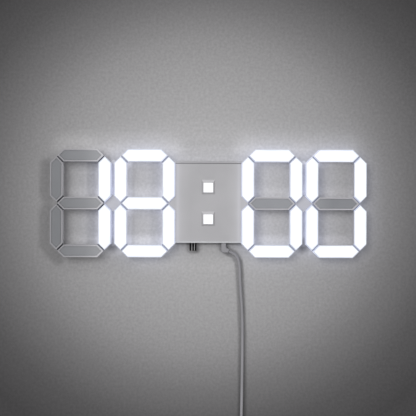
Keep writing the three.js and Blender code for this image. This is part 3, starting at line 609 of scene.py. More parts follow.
class Look(Enum):
    """The clock's finishes, many of them with painted glow, highlight or shade."""

    # White ABS from a spark-eroded mould: satin, with a faint grain and soft highlights.
    HOUSING = MouldedPlastic("abs_white_satin", "#a5a4a7", "#a09fa2", 0.5)
    # The same ABS in the centre cover, with a painted glow in its sides for the digits' light.
    FACE = MouldedPlastic(
        "abs_white_between_digits", "#a5a4a7", "#a09fa2", 0.5, painted_side_glow=PAINTED_COVER_GLOW
    )
    # The same ABS in the notches between two digits, with a faint painted glow for the light from
    # both sides.
    NOTCH = GlowingPlastic("abs_white_glowing_notch", "#a5a4a7", 0.03)
    # The same ABS in the rear covers, a shade greyer and rougher where nobody looks.
    COVER = MouldedPlastic(
        "abs_grey_rear", "#a4a5a7", "#9d9ea1", 0.58, grain_mm=0.7, grain_height_mm=0.04
    )
    # Clear-grey polycarbonate over a dark chamber: mid grey with a slight sheen, and a painted glow
    # that makes it lighter towards the lit column of its digit.
    UNLIT = MouldedPlastic(
        "polycarbonate_smoked_opal", "#585a5e", "#535559", 0.42, painted_side_glow=PAINTED_FACE_GLOW, **SMOKED
    )
    # The same polycarbonate where lit neighbours meet it: painted a lighter grey for their light,
    # with a painted glow on top.
    UNLIT_BESIDE = MouldedPlastic(
        "polycarbonate_smoked_painted_light", "#73757a", "#6f7176", 0.42, painted_side_glow=PAINTED_BESIDE_GLOW, **SMOKED
    )
    # Opal polycarbonate with lamps behind it: burnt out to plain white.
    LIT = GlowingPlastic("polycarbonate_opal_lit", "#85878a", 0.85, "#ffffff", "#f6f9ff")
    # White ABS right beside the opal face: a painted glow on its sloping side for the full light
    # that it catches.
    SLOPE_GLOW = GlowingPlastic("abs_white_glowing_slope", "#9a9c9f", 0.72, "#f3f7ff", "#e6eefb")
    # White ABS round a lit face: a painted glow makes the rim's flat front a dimmer, bluish line.
    RIM_GLOW = GlowingPlastic("abs_white_glowing_rim", "#a5a6aa", 0.36, "#b9c0da", "#aeb5cf")
    # The same ABS over a colon square, with a painted glow on its upper side.
    BROW = GlowingPlastic("abs_white_glowing_brow", "#a5a4a7", 0.26, "#bdbcbf", "#b2b1b4")
    # The same ABS on the outside of a lit segment, with a painted glow that throws a bluish light
    # on the wall.
    SIDE_GLOW = GlowingPlastic("abs_white_glowing_side", "#a6a8ab", 1.05)
    # The same ABS round a window, with a weak painted glow, as the back cover keeps most of the
    # lamps' light in.
    WINDOW_GLOW = GlowingPlastic("abs_white_glowing_window", "#9a9b9e", 0.4)
    # The same ABS between two digits, with a faint painted glow for the neighbour's light.
    GAP_GLOW = GlowingPlastic("abs_white_glowing_gap", "#9a9b9e", 0.35)
    # The same ABS on window sides turned away from the front, with a strong painted glow that fills
    # the window with light.
    WINDOW_FILL = GlowingPlastic("abs_white_glowing_inside", "#9a9b9e", 1.6)
    # The same ABS round an unlit segment, painted darker for shade, with a painted glow towards the
    # lit column of its digit.
    RIM = MouldedPlastic(
        "abs_white_painted_shade_rim", "#8f8e92", "#8b8a8e", 0.5, reach_mm=240.0, painted_side_glow=PAINTED_RIM_GLOW
    )
    # The same rim between lit segments on both sides, painted lighter for their light.
    RIM_BETWEEN = MouldedPlastic("abs_white_painted_light_rim", "#b1b0b5", "#acabb0", 0.5)
    # The same ABS on the sides of an unlit segment, painted darker for shade.
    SIDE = MouldedPlastic("abs_white_painted_shade_side", "#78777b", "#737276", 0.55)
    # The housing's face in the deep grooves between segments, painted dark for the shade where
    # little light reaches.
    GROOVE = MouldedPlastic("abs_white_painted_shade_groove", "#55565c", "#4e4f55", 0.6)
    # The same groove between lit segments, with a painted glow for their light.
    GROOVE_LIT = GlowingPlastic("abs_white_glowing_groove", "#64656c", 0.24)
    # The same ABS along the lower edge, smoother and painted light as a bright highlight line.
    EDGE = MouldedPlastic("abs_white_painted_highlight_edge", "#dfe0e3", "#d8d9dc", 0.3)
    # Black ABS: deep black with hardly a sheen.
    BLACK = MouldedPlastic("abs_black_satin", "#060607", "#040405", 0.6, shine=0.05)
    # Plasticised PVC: softer and silkier than the housing, with an even painted glow for the room's
    # light.
    CORD = MouldedPlastic(
        "pvc_white_cord", "#828185", "#7c7b7f", 0.55, grain_mm=0.6, ior=1.52, painted_side_glow=PAINTED_CORD_GLOW
    )
    # Nickel over pressed steel: bright, with faint drawn lines.
    STEEL = PlatedMetal("steel_nickel_plated", "#bfc1c4", 0.25)
    # Zinc on a machined screw: duller and slightly blue.
    ZINC = PlatedMetal("steel_zinc_plated", "#a9adb3", 0.38)
    # Green lacquer over copper tracks.
    BOARD = SolderMask("solder_mask_green", "#1d5a37", "#2a7a48")


@cache
def material_of(look: Look) -> Material:
    """Gives a finish's material, which is built once."""
    return look.value.build()


# Shapes


def at_depth(outline: Outline, depth: float) -> list[Vector]:
    """Puts an outline of x and z corners at a depth."""
    return [Vector((x, -depth, z)) for x, z in outline]


def closed_loop(shape: Shape, points: Sequence[Point]) -> list[Any]:
    """Draws a closed line through points and gives its edges."""
    corners = [shape.verts.new(point) for point in points]
    return [shape.edges.new(pair) for pair in zip(corners, corners[1:] + corners[:1])]


def loft(shape: Shape, loops: Sequence[Sequence[Vector]], ring: bool = False) -> None:
    """Draws walls from each closed loop to the next, by extruding its edges.

    Args:
        shape: the mesh that gets them.
        loops: the loops, all with as many corners in the same order.
        ring: joins the last loop to the first, for a frame; otherwise both ends are filled.
    """
    first = edges = closed_loop(shape, loops[0])
    stages = [*loops, loops[0]] if ring else loops
    for before, after in zip(stages, stages[1:]):
        made = bmesh.ops.extrude_edge_only(shape, edges=edges)["geom"]
        fresh = {part for part in made if isinstance(part, bmesh.types.BMVert)}
        for vert in fresh:
            gaps = [(corner - vert.co).length_squared for corner in before]
            vert.co = after[gaps.index(min(gaps))]
        lines = [part for part in made if isinstance(part, bmesh.types.BMEdge)]
        edges = [line for line in lines if fresh.issuperset(line.verts)]
    if ring:
        bmesh.ops.remove_doubles(shape, verts=shape.verts, dist=MERGE)
    else:
        for loop in (first, edges):
            bmesh.ops.contextual_create(shape, geom=loop)


def pull(shape: Shape, faces: list[Any], along_y: float, keep: bool = False) -> None:
    """Extrudes faces and moves the new ones along y.

    Args:
        shape: the mesh.
        faces: the faces.
        along_y: how far the new faces are moved.
        keep: whether the old faces stay.
    """
    made = bmesh.ops.extrude_face_region(shape, geom=faces)["geom"]
    verts = [part for part in made if isinstance(part, bmesh.types.BMVert)]
    if not keep:
        bmesh.ops.delete(shape, geom=[f for f in faces if f.is_valid], context="FACES_ONLY")
    bmesh.ops.translate(shape, vec=(0.0, along_y, 0.0), verts=verts)


def add_box(shape: Shape, low: Point, high: Point) -> None:
    """Adds a box.

    Args:
        shape: the mesh that gets it.
        low: its lowest x, smallest depth and lowest z.
        high: its highest x, largest depth and highest z.
    """
    size = Vector((high[0] - low[0], high[1] - low[1], high[2] - low[2]))
    middle = Vector(((low[0] + high[0]) / 2, -(low[1] + high[1]) / 2, (low[2] + high[2]) / 2))
    bmesh.ops.create_cube(shape, size=1.0, matrix=Matrix.LocRotScale(middle, None, size))


def add_peg(
    shape: Shape, middle: Point, radii: Point, length: float, segments: int, turn: float = QUARTER
) -> None:
    """Adds a round peg.

    Args:
        shape: the mesh that gets it.
        middle: its middle as x, y and z.
        radii: its radius at either end.
        length: its length.
        segments: how many sides it has.
        turn: how far it is turned about x from upright.
    """
    bmesh.ops.create_cone(
        shape,
        cap_ends=True,
        segments=segments,
        radius1=radii[0],
        radius2=radii[1],
        depth=length,
        matrix=Matrix.Translation(middle) @ Matrix.Rotation(turn, 4, "X"),
    )


def turn_round(
    shape: Shape, profile: Sequence[Point], middle: Point, axis: Point, steps: int, closed: bool
) -> None:
    """Turns a profile round an axis.

    Args:
        shape: the mesh that gets the turned shape.
        profile: the profile's points.
        middle: a point on the axis.
        axis: the axis's direction.
        steps: how many steps a full turn has.
        closed: joins the profile's last point to its first.
    """
    corners = [shape.verts.new(point) for point in profile]
    ends = corners[1:] + corners[:1] if closed else corners[1:]
    edges = [shape.edges.new(pair) for pair in zip(corners, ends)]
    bmesh.ops.spin(
        shape,
        geom=corners + edges,
        cent=middle,
        axis=axis,
        angle=2 * math.pi,
        steps=steps,
        use_merge=True,
    )
    bmesh.ops.remove_doubles(shape, verts=shape.verts, dist=MERGE)


def bevel(shape: Shape, edges: list[Any], size: float, segments: int, clamp: bool) -> None:
    """Bevels edges.

    Args:
        shape: the mesh.
        edges: its edges that are bevelled.
        size: the bevel's size.
        segments: its number of steps.
        clamp: keeps the bevel from running past what it meets.
    """
    bmesh.ops.bevel(
        shape,
        geom=edges,
        offset=size,
        offset_type="OFFSET",
        segments=segments,
        profile=0.5,
        affect="EDGES",
        clamp_overlap=clamp,
        material=-1,
    )


def soften(shape: Shape, radius: float, segments: int = 2, angle: float = 30.0) -> None:
    """Rounds every edge that is sharper than an angle.

    Args:
        shape: the mesh.
        radius: the size of the round.
        segments: its number of steps.
        angle: the least angle of an edge that is rounded, in degrees.
    """
    limit = math.radians(angle)
    sharp = [e for e in shape.edges if e.is_manifold and e.calc_face_angle() > limit]
    bevel(shape, sharp, radius, segments, clamp=True)


def as_object(name: str, shape: Shape) -> Piece:
    """Turns a shape in millimetres into an object in metres, with its place in its mesh.

    Args:
        name: the object's name.
        shape: its shape, which is used up.

    Returns:
        The object.
    """
    bmesh.ops.scale(shape, vec=(MM, MM, MM), verts=shape.verts)
    mesh = bpy.data.meshes.new(name)
    shape.to_mesh(mesh)
    shape.free()
    made = bpy.data.objects.new(name, mesh)
    bpy.context.scene.collection.objects.link(made)
    return made


def carve(made: Piece, cutter: Shape) -> None:
    """Cuts a shape out of an object for good.

    Args:
        made: the object.
        cutter: what is cut out, in millimetres, which is used up.
    """
    bmesh.ops.recalc_face_normals(cutter, faces=cutter.faces)
    tool = as_object("cutter", cutter)
    cut = made.modifiers.new("cut", "BOOLEAN")
    cut.operation = "DIFFERENCE"
    cut.solver = "EXACT"
    cut.use_self = True
    cut.object = tool
    settled = made.evaluated_get(bpy.context.evaluated_depsgraph_get())
    mesh = bpy.data.meshes.new_from_object(settled)
    made.modifiers.clear()
    spare = made.data
    made.data = mesh
    bpy.data.meshes.remove(spare)
    mesh.name = made.name
    bpy.data.objects.remove(tool)


def dress(
    made: Piece, look: Look, slot: Slot, nodes: Sequence[str] = (), body: Body = Body.CLOCK
) -> Piece:
    """Gives a piece its finish and its place in the frame, and reports it.

    Args:
        made: the piece.
        look: its finish.
        slot: the record's material slot; it is not used.
        nodes: the CAD nodes that it stands for.
        body: the body it rides on.

    Returns:
        The piece.
    """
    made.data.materials.clear()
    made.data.materials.append(material_of(look))
    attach(made, body.value)
    if nodes:
        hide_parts(*nodes)
    log.info("%s rides on %s", made.name, body.value)
    return made


def finished(
    name: str,
    shape: Shape,
    look: Look,
    slot: Slot,
    nodes: Sequence[str] = (),
    body: Body = Body.CLOCK,
    cutters: Sequence[Shape] = (),
) -> Piece:
    """Makes a dressed piece from its shape.

    Args:
        name: the piece's name.
        shape: its shape, which is used up.
        look: its finish.
        slot: the record's material slot.
        nodes: the CAD nodes that it stands for.
        body: the body it rides on.
        cutters: what is cut out of it, one after the other.

    Returns:
        The piece.
    """
    bmesh.ops.recalc_face_normals(shape, faces=shape.faces)
    made = as_object(name, shape)
    for cutter in cutters:
        carve(made, cutter)
    made.data.shade_smooth()
    made.data.set_sharp_from_angle(angle=math.radians(35.0))
    # Large flat faces keep their own normal, so that only the bevels shade round.
    made.modifiers.new("flat_faces", "WEIGHTED_NORMAL").keep_sharp = True
    return dress(made, look, slot, nodes, body)


def paint(piece: Piece, look_of: Callable[[Face], Look]) -> None:
    """Gives each face of a piece its own finish.

    Args:
        piece: the piece.
        look_of: picks a face's finish.
    """
    looks = [look_of(face) for face in piece.data.polygons]
    order = list(dict.fromkeys(looks))
    piece.data.materials.clear()
    for look in order:
        piece.data.materials.append(material_of(look))
    for face, look in zip(piece.data.polygons, looks):
        face.material_index = order.index(look)


def repaint(node: str, look: Look) -> None:
    """Gives a CAD node that stays a procedural finish.

    Args:
        node: the node's name.
        look: its finish.
    """
    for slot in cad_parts[node].material_slots:
        slot.material = material_of(look)
    log.info("%s keeps its CAD shape", node)


# Sub-assemblies


@dataclass(frozen=True)
class Segment:
    """One of the seven segments of a digit, with the letters of those that meet it."""

    letter: str
    column: int
    row: int
    lay: Lay
    meets: str


SEGMENTS = (
    Segment("a", 0, 2, Lay.ACROSS, "bf"),
    Segment("b", 1, 1, Lay.UPRIGHT, "acg"),
    Segment("c", 1, -1, Lay.UPRIGHT, "bdg"),
    Segment("d", 0, -2, Lay.ACROSS, "ce"),
    Segment("e", -1, -1, Lay.UPRIGHT, "dfg"),
    Segment("f", -1, 1, Lay.UPRIGHT, "aeg"),
    Segment("g", 0, 0, Lay.ACROSS, "bcef"),
)


@dataclass
class Digit:
    """A digit: housing, seven rims, seven diffusers and back cover."""

    number: int
    centre_x: float
    lit: str
    rail_sides: tuple[int, ...]
    cell_width: float = 72.4
    cell_height: float = 71.8
    segment_width: float = 19.0
    tip_setback: float = 1.5556
    wall: float = 1.4
    ledge: float = 0.95
    land: float = 1.0
    fit: float = 0.3
    witness: float = 0.1
    tray_floor: float = 10.0
    groove_floor: float = 12.0
    flange_back: float = 16.6
    flange_front: float = 18.0
    ledge_depth: float = 18.3
    slope_depth: float = 19.2
    front: float = 20.0
    plate: float = 1.8
    post_middle: float = 3.75
    post_length: float = 4.2
    line_end: float = 8.0
    window_margin: float = 0.5
    gap_x: float = 143.75
    gap_reach: float = 4.0

    def mostly_lit(self) -> bool:
        """Tells whether most of the digit's segments are lit."""
        return len(self.lit) > len(SEGMENTS) / 2

    def middle(self, segment: Segment) -> tuple[float, float]:
        """Gives the x and z of a segment's middle."""
        x = self.centre_x + segment.column * self.cell_width / 2
        return x, segment.row * self.cell_height / 2

    def hexagon(self, segment: Segment, inset: float) -> Outline:
        """Draws a segment with its 45 degree ends.

        Args:
            segment: which segment.
            inset: how far inside the segment's outside.

        Returns:
            The outline's six corners.
        """
        upright = segment.lay is Lay.UPRIGHT
        length = self.cell_height if upright else self.cell_width
        span = length / 2 - self.tip_setback - inset * math.sqrt(2)
        half = self.segment_width / 2 - inset
        corners = [(span, 0.0), (span - half, half), (half - span, half)]
        corners += [(-span, 0.0), (half - span, -half), (span - half, -half)]
        if upright:
            corners = [(-z, x) for x, z in corners]
        x, z = self.middle(segment)
        return [(u + x, v + z) for u, v in corners]

    def outside(self, inset: float) -> Outline:
        """Draws the digit's outside.

        Args:
            inset: how far inside it.

        Returns:
            The outline's corners.
        """
        column = self.cell_width / 2
        half = self.segment_width / 2 - inset
        tip = self.tip_setback + inset * math.sqrt(2)
        quarter = [
            (column - tip, 0.0),
            (column + half, tip + half),
            (column + half, self.cell_height - half - tip),
            (column - half - tip, self.cell_height + half),
        ]
        upper = quarter + [(-x, z) for x, z in reversed(quarter)]
        lower = [(x, -z) for x, z in reversed(upper[1:-1])]
        return [(x + self.centre_x, z) for x, z in upper + lower]

    def window(self, up: int, inset: float) -> Outline:
        """Draws one of the digit's two windows.

        Args:
            up: 1 for the upper window and -1 for the lower one.
            inset: how far the material round it is drawn in.

        Returns:
            The outline's corners.
        """
        half = self.segment_width / 2 - inset
        side = self.cell_width / 2 - half
        chamfer = self.tip_setback + inset * (2 - math.sqrt(2))
        low, high = half, self.cell_height - half
        right = [(side - chamfer, low), (side, low + chamfer)]
        right += [(side, high - chamfer), (side - chamfer, high)]
        corners = right + [(-x, z) for x, z in reversed(right)]
        return [(x + self.centre_x, up * z) for x, z in corners]

    def figure_eight(self, inset: float, back: float, front: float) -> Shape:
        """Makes a plate of the digit's whole outline.

        Args:
            inset: how far inside the digit's outside.
            back: the depth of its back.
            front: the depth of its front.

        Returns:
            The plate.
        """
        shape = bmesh.new()
        edges = []
        for outline in (self.outside(inset), self.window(1, inset), self.window(-1, inset)):
            edges += closed_loop(shape, at_depth(outline, back))
        bmesh.ops.triangle_fill(shape, use_beauty=True, edges=edges)
        pull(shape, shape.faces[:], back - front, keep=True)
        bmesh.ops.recalc_face_normals(shape, faces=shape.faces)
        return shape

    def beside_light(self, x: float, z: float) -> bool:
        """Tells whether the segment nearest to a place on the housing is lit.

        Args:
            x: the place's x.
            z: the place's z.

        Returns:
            Whether it is.
        """
        across = x - self.centre_x

        def off(segment: Segment) -> float:
            """Measures how far the place lies outside a segment's middle line.

            Args:
                segment: which segment.

            Returns:
                The distance across and up, added.
            """
            upright = segment.lay is Lay.UPRIGHT
            reach_x = 0.0 if upright else self.cell_width / 2 - self.line_end
            reach_z = self.cell_height / 2 - self.line_end if upright else 0.0
            gap_x = abs(across - segment.column * self.cell_width / 2) - reach_x
            gap_z = abs(z - segment.row * self.cell_height / 2) - reach_z
            return max(gap_x, 0.0) + max(gap_z, 0.0)

        return min(SEGMENTS, key=off).letter in self.lit

    def faces_window(self, x: float, z: float) -> bool:
        """Tells whether a place lies on a side that faces one of the windows.

        Args:
            x: the place's x.
            z: the place's z.

        Returns:
            Whether it does.
        """
        half = self.segment_width / 2 - self.window_margin
        inside = abs(x - self.centre_x) < self.cell_width / 2 - half
        return inside and abs(z) < self.cell_height - half

    def lit_side(self, face: Face) -> Look:
        """Picks the painted glow of a side beside a lit segment.

        Args:
            face: the side's face.

        Returns:
            Its finish.
        """
        x, z = face.center.x / MM, face.center.z / MM
        # Seen from the front, a side that is turned away from the clock's middle is hidden; near a
        # window or gap it takes the strongest painted glow.
        outward = face.normal.x * math.copysign(1.0, self.centre_x)
        if not self.faces_window(x, z):
            if abs(outward) < FLAT or abs(abs(x) - self.gap_x) > self.gap_reach:
                return Look.SIDE_GLOW
            return Look.WINDOW_FILL if outward > 0 else Look.GAP_GLOW
        if outward > SLOPING or face.normal.z * z > SLOPING * self.cell_height:
            return Look.WINDOW_FILL
        return Look.NOTCH if abs(self.centre_x) > self.gap_x else Look.WINDOW_GLOW

    def housing(self) -> None:
        """Builds the tray behind the segments, open to the wall."""
        shape = self.figure_eight(0.0, 0.0, self.groove_floor)
        back = [f for f in shape.faces if f.normal.y > FLAT]
        bmesh.ops.inset_region(shape, faces=back, thickness=self.wall, use_even_offset=True)
        pull(shape, back, -self.tray_floor)
        soften(shape, 0.25)
        cutter = bmesh.new()
        reach = (self.cell_width + self.segment_width) / 2 + PAST
        ends = [0.0] + [side * reach for side in self.rail_sides]
        low, high = self.centre_x + min(ends), self.centre_x + max(ends)
        add_box(cutter, (low, -PAST, -RAIL_SLOT_HALF), (high, RAIL_SLOT_DEPTH, RAIL_SLOT_HALF))
        name = f"digit_{self.number}_housing"
        nodes = [f"digit_{self.number}_shell"]
        piece = finished(name, shape, Look.HOUSING, Slot.HOUSING, nodes, cutters=[cutter])

        def look_of(face: Face) -> Look:
            """Picks the finish of one of the housing's faces.

            Args:
                face: the face.

            Returns:
                Its finish.
            """
            x, z = face.center.x / MM, face.center.z / MM
            # Groove floors take painted shade, or a painted glow in a mostly lit digit.
            if face.normal.y < -FLAT:
                return Look.GROOVE_LIT if self.mostly_lit() else Look.GROOVE
            # Beside a lit segment a side takes a painted glow; a window side beside an unlit one,
            # painted shade.
            if self.beside_light(x, z):
                return self.lit_side(face)
            return Look.SIDE if self.faces_window(x, z) else Look.HOUSING

        paint(piece, look_of)

    def rim(self, segment: Segment) -> None:
        """Builds the raised frame of a segment, with its land, slope, ledge and chamber.

        Args:
            segment: which segment.
        """
        sunk = self.groove_floor - self.fit
        opening = self.wall + self.ledge
        section = [
            (self.witness, sunk),
            (self.witness, self.front),
            (self.land, self.front),
            (opening, self.slope_depth),
            (opening, self.ledge_depth),
            (self.wall, self.ledge_depth),
            (self.wall, sunk),
        ]
        shape = bmesh.new()
        loft(shape, [at_depth(self.hexagon(segment, inset), d) for inset, d in section], ring=True)
        soften(shape, 0.12)
        lit = segment.letter in self.lit
        # An unlit rim is painted lighter in a mostly lit digit and darker for shade in the others.
        plain = Look.RIM_BETWEEN if self.mostly_lit() else Look.RIM
        piece = finished(
            f"digit_{self.number}_rim_{segment.letter}",
            shape,
            Look.SIDE_GLOW if lit else Look.RIM,
            Slot.HOUSING,
        )

        def look_of(face: Face) -> Look:
            """Picks the finish of one of the rim's faces.

            Args:
                face: the face.

            Returns:
                Its finish.
            """
            # A lit rim's front and sides take painted glow; an unlit rim's window sides take
            # painted shade.
            if face.normal.y < -0.2:
                front = Look.RIM_GLOW if face.normal.y < -0.95 else Look.SLOPE_GLOW
                return front if lit else plain
            if lit:
                return self.lit_side(face)
            inside = self.faces_window(face.center.x / MM, face.center.z / MM)
            return Look.SIDE if inside else plain

        paint(piece, look_of)

    def diffuser(self, segment: Segment) -> None:
        """Builds a diffuser: the flange behind the ledge and the face in the opening.

        Args:
            segment: which segment.
        """
        flange = self.wall + self.fit
        face = self.wall + self.ledge + self.fit
        section = [
            (flange, self.flange_back),
            (flange, self.flange_front),
            (face, self.flange_front),
            (face, self.slope_depth),
        ]
        shape = bmesh.new()
        loft(shape, [at_depth(self.hexagon(segment, inset), depth) for inset, depth in section])
        soften(shape, 0.2)
        lit = segment.letter in self.lit
        # An unlit face is painted lighter where three or more lit segments meet it.
        lit_round = sum(letter in self.lit for letter in segment.meets)
        dark = Look.UNLIT_BESIDE if lit_round > 2 else Look.UNLIT
        finished(
            f"digit_{self.number}_diffuser_{segment.letter}",
            shape,
            Look.LIT if lit else dark,
            Slot.LIT if lit else Slot.UNLIT,
            [f"digit_{self.number}_segment_{segment.letter}"],
        )

    def back_cover(self) -> None:
        """Builds the back cover, with a post behind each outer segment."""
        shape = self.figure_eight(self.wall + self.fit, 0.0, self.plate)
        soften(shape, 0.3)
        for segment in SEGMENTS:
            if segment.row or segment.column:
                x, z = self.middle(segment)
                add_peg(shape, (x, -self.post_middle, z), (2.0, 1.8), self.post_length, 24)
        name = f"digit_{self.number}_rear_cover"
        finished(name, shape, Look.COVER, Slot.COVER, [f"digit_{self.number}_back_cover"])

    def build(self) -> None:
        """Builds the whole digit."""
        self.housing()
        for segment in SEGMENTS:
            self.rim(segment)
            self.diffuser(segment)
        self.back_cover()
        repaint(f"digit_{self.number}_led_board", Look.BOARD)


@dataclass
class CentreBody:
    """The centre body: covers, colon, screws, buttons and what it holds."""

    width: float = 99.0
    bottom: float = -59.4
    top: float = 63.0
    back: float = 2.1
    front: float = 17.0
    wall: float = 2.0
    top_bevel: float = 0.8
    bottom_bevel: float = 2.3
    groove_top: float = 60.8
    groove_width: float = 1.3
    groove_depth: float = 1.2
    wing_tip: float = 60.53
    colon_half: float = 7.2
    colon_z: float = 23.8
    colon_fit: float = 0.5
    bezel_foot: float = 2.9
    bezel_land: float = 0.3
    bezel_rise: float = 2.2
    bezel_brow: float = 1.6
    bezel_sunk: float = 0.2
    web_half: float = 9.1
    web_reach: float = 33.0
    web_back: float = 13.1
    web_front: float = 14.7
    colon_front: float = 18.9
    plate: float = 1.8
    keyhole_x: float = 28.0
    keyhole_low: float = 48.0
    keyhole_high: float = 55.0
    head_radius: float = 4.2
    neck_radius: float = 2.2
    screw_inset: float = 6.5
    screw_hole: float = 2.9
    button_xs: tuple[float, ...] = (-26.77, -22.5, -18.75)
    button_depth: float = 9.8
    button_half: tuple[float, float] = (1.2, 1.6)
    button_slot: tuple[float, float] = (1.35, 1.9)
    flange_half: tuple[float, float] = (1.55, 2.3)
    button_reach: float = 12.0
    flange_z: float = -57.0
    socket_x: float = 23.3
    socket_depth: float = 9.0
    socket_radius: float = 4.5

    def screw_places(self) -> list[tuple[float, float]]:
        """Gives the screws' places.

        Returns:
            The x and z of each screw, in the order of the nodes.
        """
        x = self.width / 2 - self.screw_inset
        low, high = self.bottom + self.screw_inset, self.top - self.screw_inset
        return [(-x, low), (x, low), (x, high), (-x, high)]

    def outside(self) -> Outline:
        """Draws the body's outside with a pointed wing on each side.

        Returns:
            The outline's corners.
        """
        half = self.width / 2
        reach = self.wing_tip - half
        right = [(half, self.bottom), (half, -reach), (self.wing_tip, 0.0), (half, reach)]
        right.append((half, self.top))
        return right + [(-x, z) for x, z in reversed(right)]

    def front_cutter(self) -> Shape:
        """Shapes what is cut out of the front cover.

        Returns:
            The groove, the rail's slot, the colon's openings, the buttons' slots and the plug's
            hole.
        """
        cutter = bmesh.new()
        reach = self.wing_tip + PAST
        low = self.groove_top - self.groove_width
        floor = self.front - self.groove_depth
        add_box(cutter, (-reach, floor, low), (reach, self.front + PAST, self.groove_top))
        add_box(cutter, (-reach, -PAST, -RAIL_SLOT_HALF), (reach, RAIL_SLOT_DEPTH, RAIL_SLOT_HALF))
        half = self.colon_half
        for z in (self.colon_z, -self.colon_z):
            add_box(cutter, (-half, self.front - 4.0, z - half), (half, self.front + 4.0, z + half))
        wide, deep = self.button_slot
        top = self.bottom + self.wall + PAST
        for x in self.button_xs:
            low = (x - wide, self.button_depth - deep, self.bottom - PAST)
            add_box(cutter, low, (x + wide, self.button_depth + deep, top))
        middle = (self.socket_x, -self.socket_depth, self.bottom + PAST)
        add_peg(cutter, middle, (self.socket_radius, self.socket_radius), 4.0, 48, turn=0.0)
        return cutter

    def front_cover(self) -> None:
        """Builds the front cover, hollowed from behind, with its groove and its cut-outs."""
        shape = bmesh.new()
        edges = closed_loop(shape, at_depth(self.outside(), self.back))
        bmesh.ops.contextual_create(shape, geom=edges)
        pull(shape, shape.faces[:], self.back - self.front, keep=True)
        bmesh.ops.recalc_face_normals(shape, faces=shape.faces)
        rear = [f for f in shape.faces if f.normal.y > FLAT]
        bmesh.ops.inset_region(shape, faces=rear, thickness=self.wall, use_even_offset=True)
        pull(shape, rear, self.back + self.wall - self.front)
        for height, size in ((self.top, self.top_bevel), (self.bottom, self.bottom_bevel)):
            corners = {
                v
                for v in shape.verts
                if abs(v.co.y + self.front) < 0.01 and abs(v.co.z - height) < 0.01
            }
            edge = [e for e in shape.edges if corners.issuperset(e.verts)]
            bevel(shape, edge, size, 1, clamp=False)
        soften(shape, 0.2)
        piece = finished(
            "centre_front_shell",
            shape,
            Look.FACE,
            Slot.HOUSING,
            ["centre_front_cover"],
            cutters=[self.front_cutter()],
        )
        low, high, near = self.groove_top - self.groove_width, self.groove_top, 0.1

        def look_of(face: Face) -> Look:
            """Picks the finish of one of the cover's faces.

            Args:
                face: the face.

            Returns:
                Its finish.
            """
            depth, z = -face.center.y / MM, face.center.z / MM
            in_groove = low - near < z < high + near
            # The groove's walls take painted shade, the bottom bevel a painted highlight and the
            # top face a painted glow; the rest of the face has a painted side glow.
            if in_groove and face.normal.z < 0.5 and depth < self.front - near:
                return Look.SIDE
            if face.normal.y < -SLOPING and face.normal.z < -SLOPING:
                return Look.EDGE
            if face.normal.z > FLAT and z > self.top - near:
                return Look.WINDOW_GLOW
            return Look.FACE

        paint(piece, look_of)

    def bezels(self) -> None:
        """Builds the raised square frame of each colon square."""
        inside, foot = self.colon_half, self.colon_half + self.bezel_foot
        front = self.front + self.bezel_rise
        section = [
            (foot, self.bezel_brow, self.front - self.bezel_sunk),
            (foot, self.bezel_brow, self.front + 0.05),
            (inside + self.bezel_land, 0.0, front),
            (inside, 0.0, front),
            (inside, 0.0, self.front - self.bezel_sunk),
        ]
        for name, middle in (("upper", self.colon_z), ("lower", -self.colon_z)):
            loops = []
            for half, brow, depth in section:
                low, top = middle - half, middle + half + brow
                square = [(half, low), (half, top), (-half, top), (-half, low)]
                loops.append(at_depth(square, depth))
            shape = bmesh.new()
            loft(shape, loops, ring=True)
            soften(shape, 0.1)
            piece = finished(f"colon_bezel_{name}", shape, Look.HOUSING, Slot.HOUSING)

            def look_of(face: Face) -> Look:
                """Picks the finish of one of the bezel's faces."""
                # The upper slope takes a painted glow.
                upper = face.normal.z > SLOPING and face.normal.y < -SLOPING
                return Look.BROW if upper else Look.HOUSING

            paint(piece, look_of)

    def colon(self) -> None:
        """Builds the colon's moulding: two squares on a web."""
        shape = bmesh.new()
        half, web, reach = self.colon_half - self.colon_fit, self.web_half, self.web_reach
        add_box(shape, (-web, self.web_back, -reach), (web, self.web_front, reach))
        for z in (self.colon_z, -self.colon_z):
            add_box(shape, (-half, self.web_front, z - half), (half, self.colon_front, z + half))
        soften(shape, 0.2)
        finished("colon_squares", shape, Look.LIT, Slot.LIT, ["colon_diffuser"])

    def rear_cover(self) -> None:
        """Builds the rear cover with its keyholes, screw holes and the bosses under them."""
        shape = bmesh.new()
        half = self.width / 2
        add_box(shape, (-half, 0.0, self.bottom), (half, self.plate, self.top))
        soften(shape, 0.3)
        cutter = bmesh.new()
        low, high, neck = self.keyhole_low, self.keyhole_high, self.neck_radius
        for x in (-self.keyhole_x, self.keyhole_x):
            for radius, z in ((self.head_radius, low), (neck, high)):
                add_peg(cutter, (x, 0.0, z), (radius, radius), 6.0, 40)
            add_box(cutter, (x - neck, -3.0, low), (x + neck, 3.0, high))
        cups = bmesh.new()
        profile = [(1.7, 2.4), (2.9, 2.4), (2.9, 1.5), (4.1, 1.5), (4.1, 4.4), (1.7, 4.4)]
        for x, z in self.screw_places():
            add_peg(cutter, (x, 0.0, z), (self.screw_hole, self.screw_hole), 6.0, 40)
            points = [(x + r, -depth, z) for r, depth in profile]
            turn_round(cups, points, (x, 0.0, z), (0.0, 1.0, 0.0), 40, closed=True)
        nodes = ["centre_rear_cover"]
        finished("centre_rear_plate", shape, Look.COVER, Slot.COVER, nodes, cutters=[cutter])
        finished("screw_cups", cups, Look.COVER, Slot.COVER)

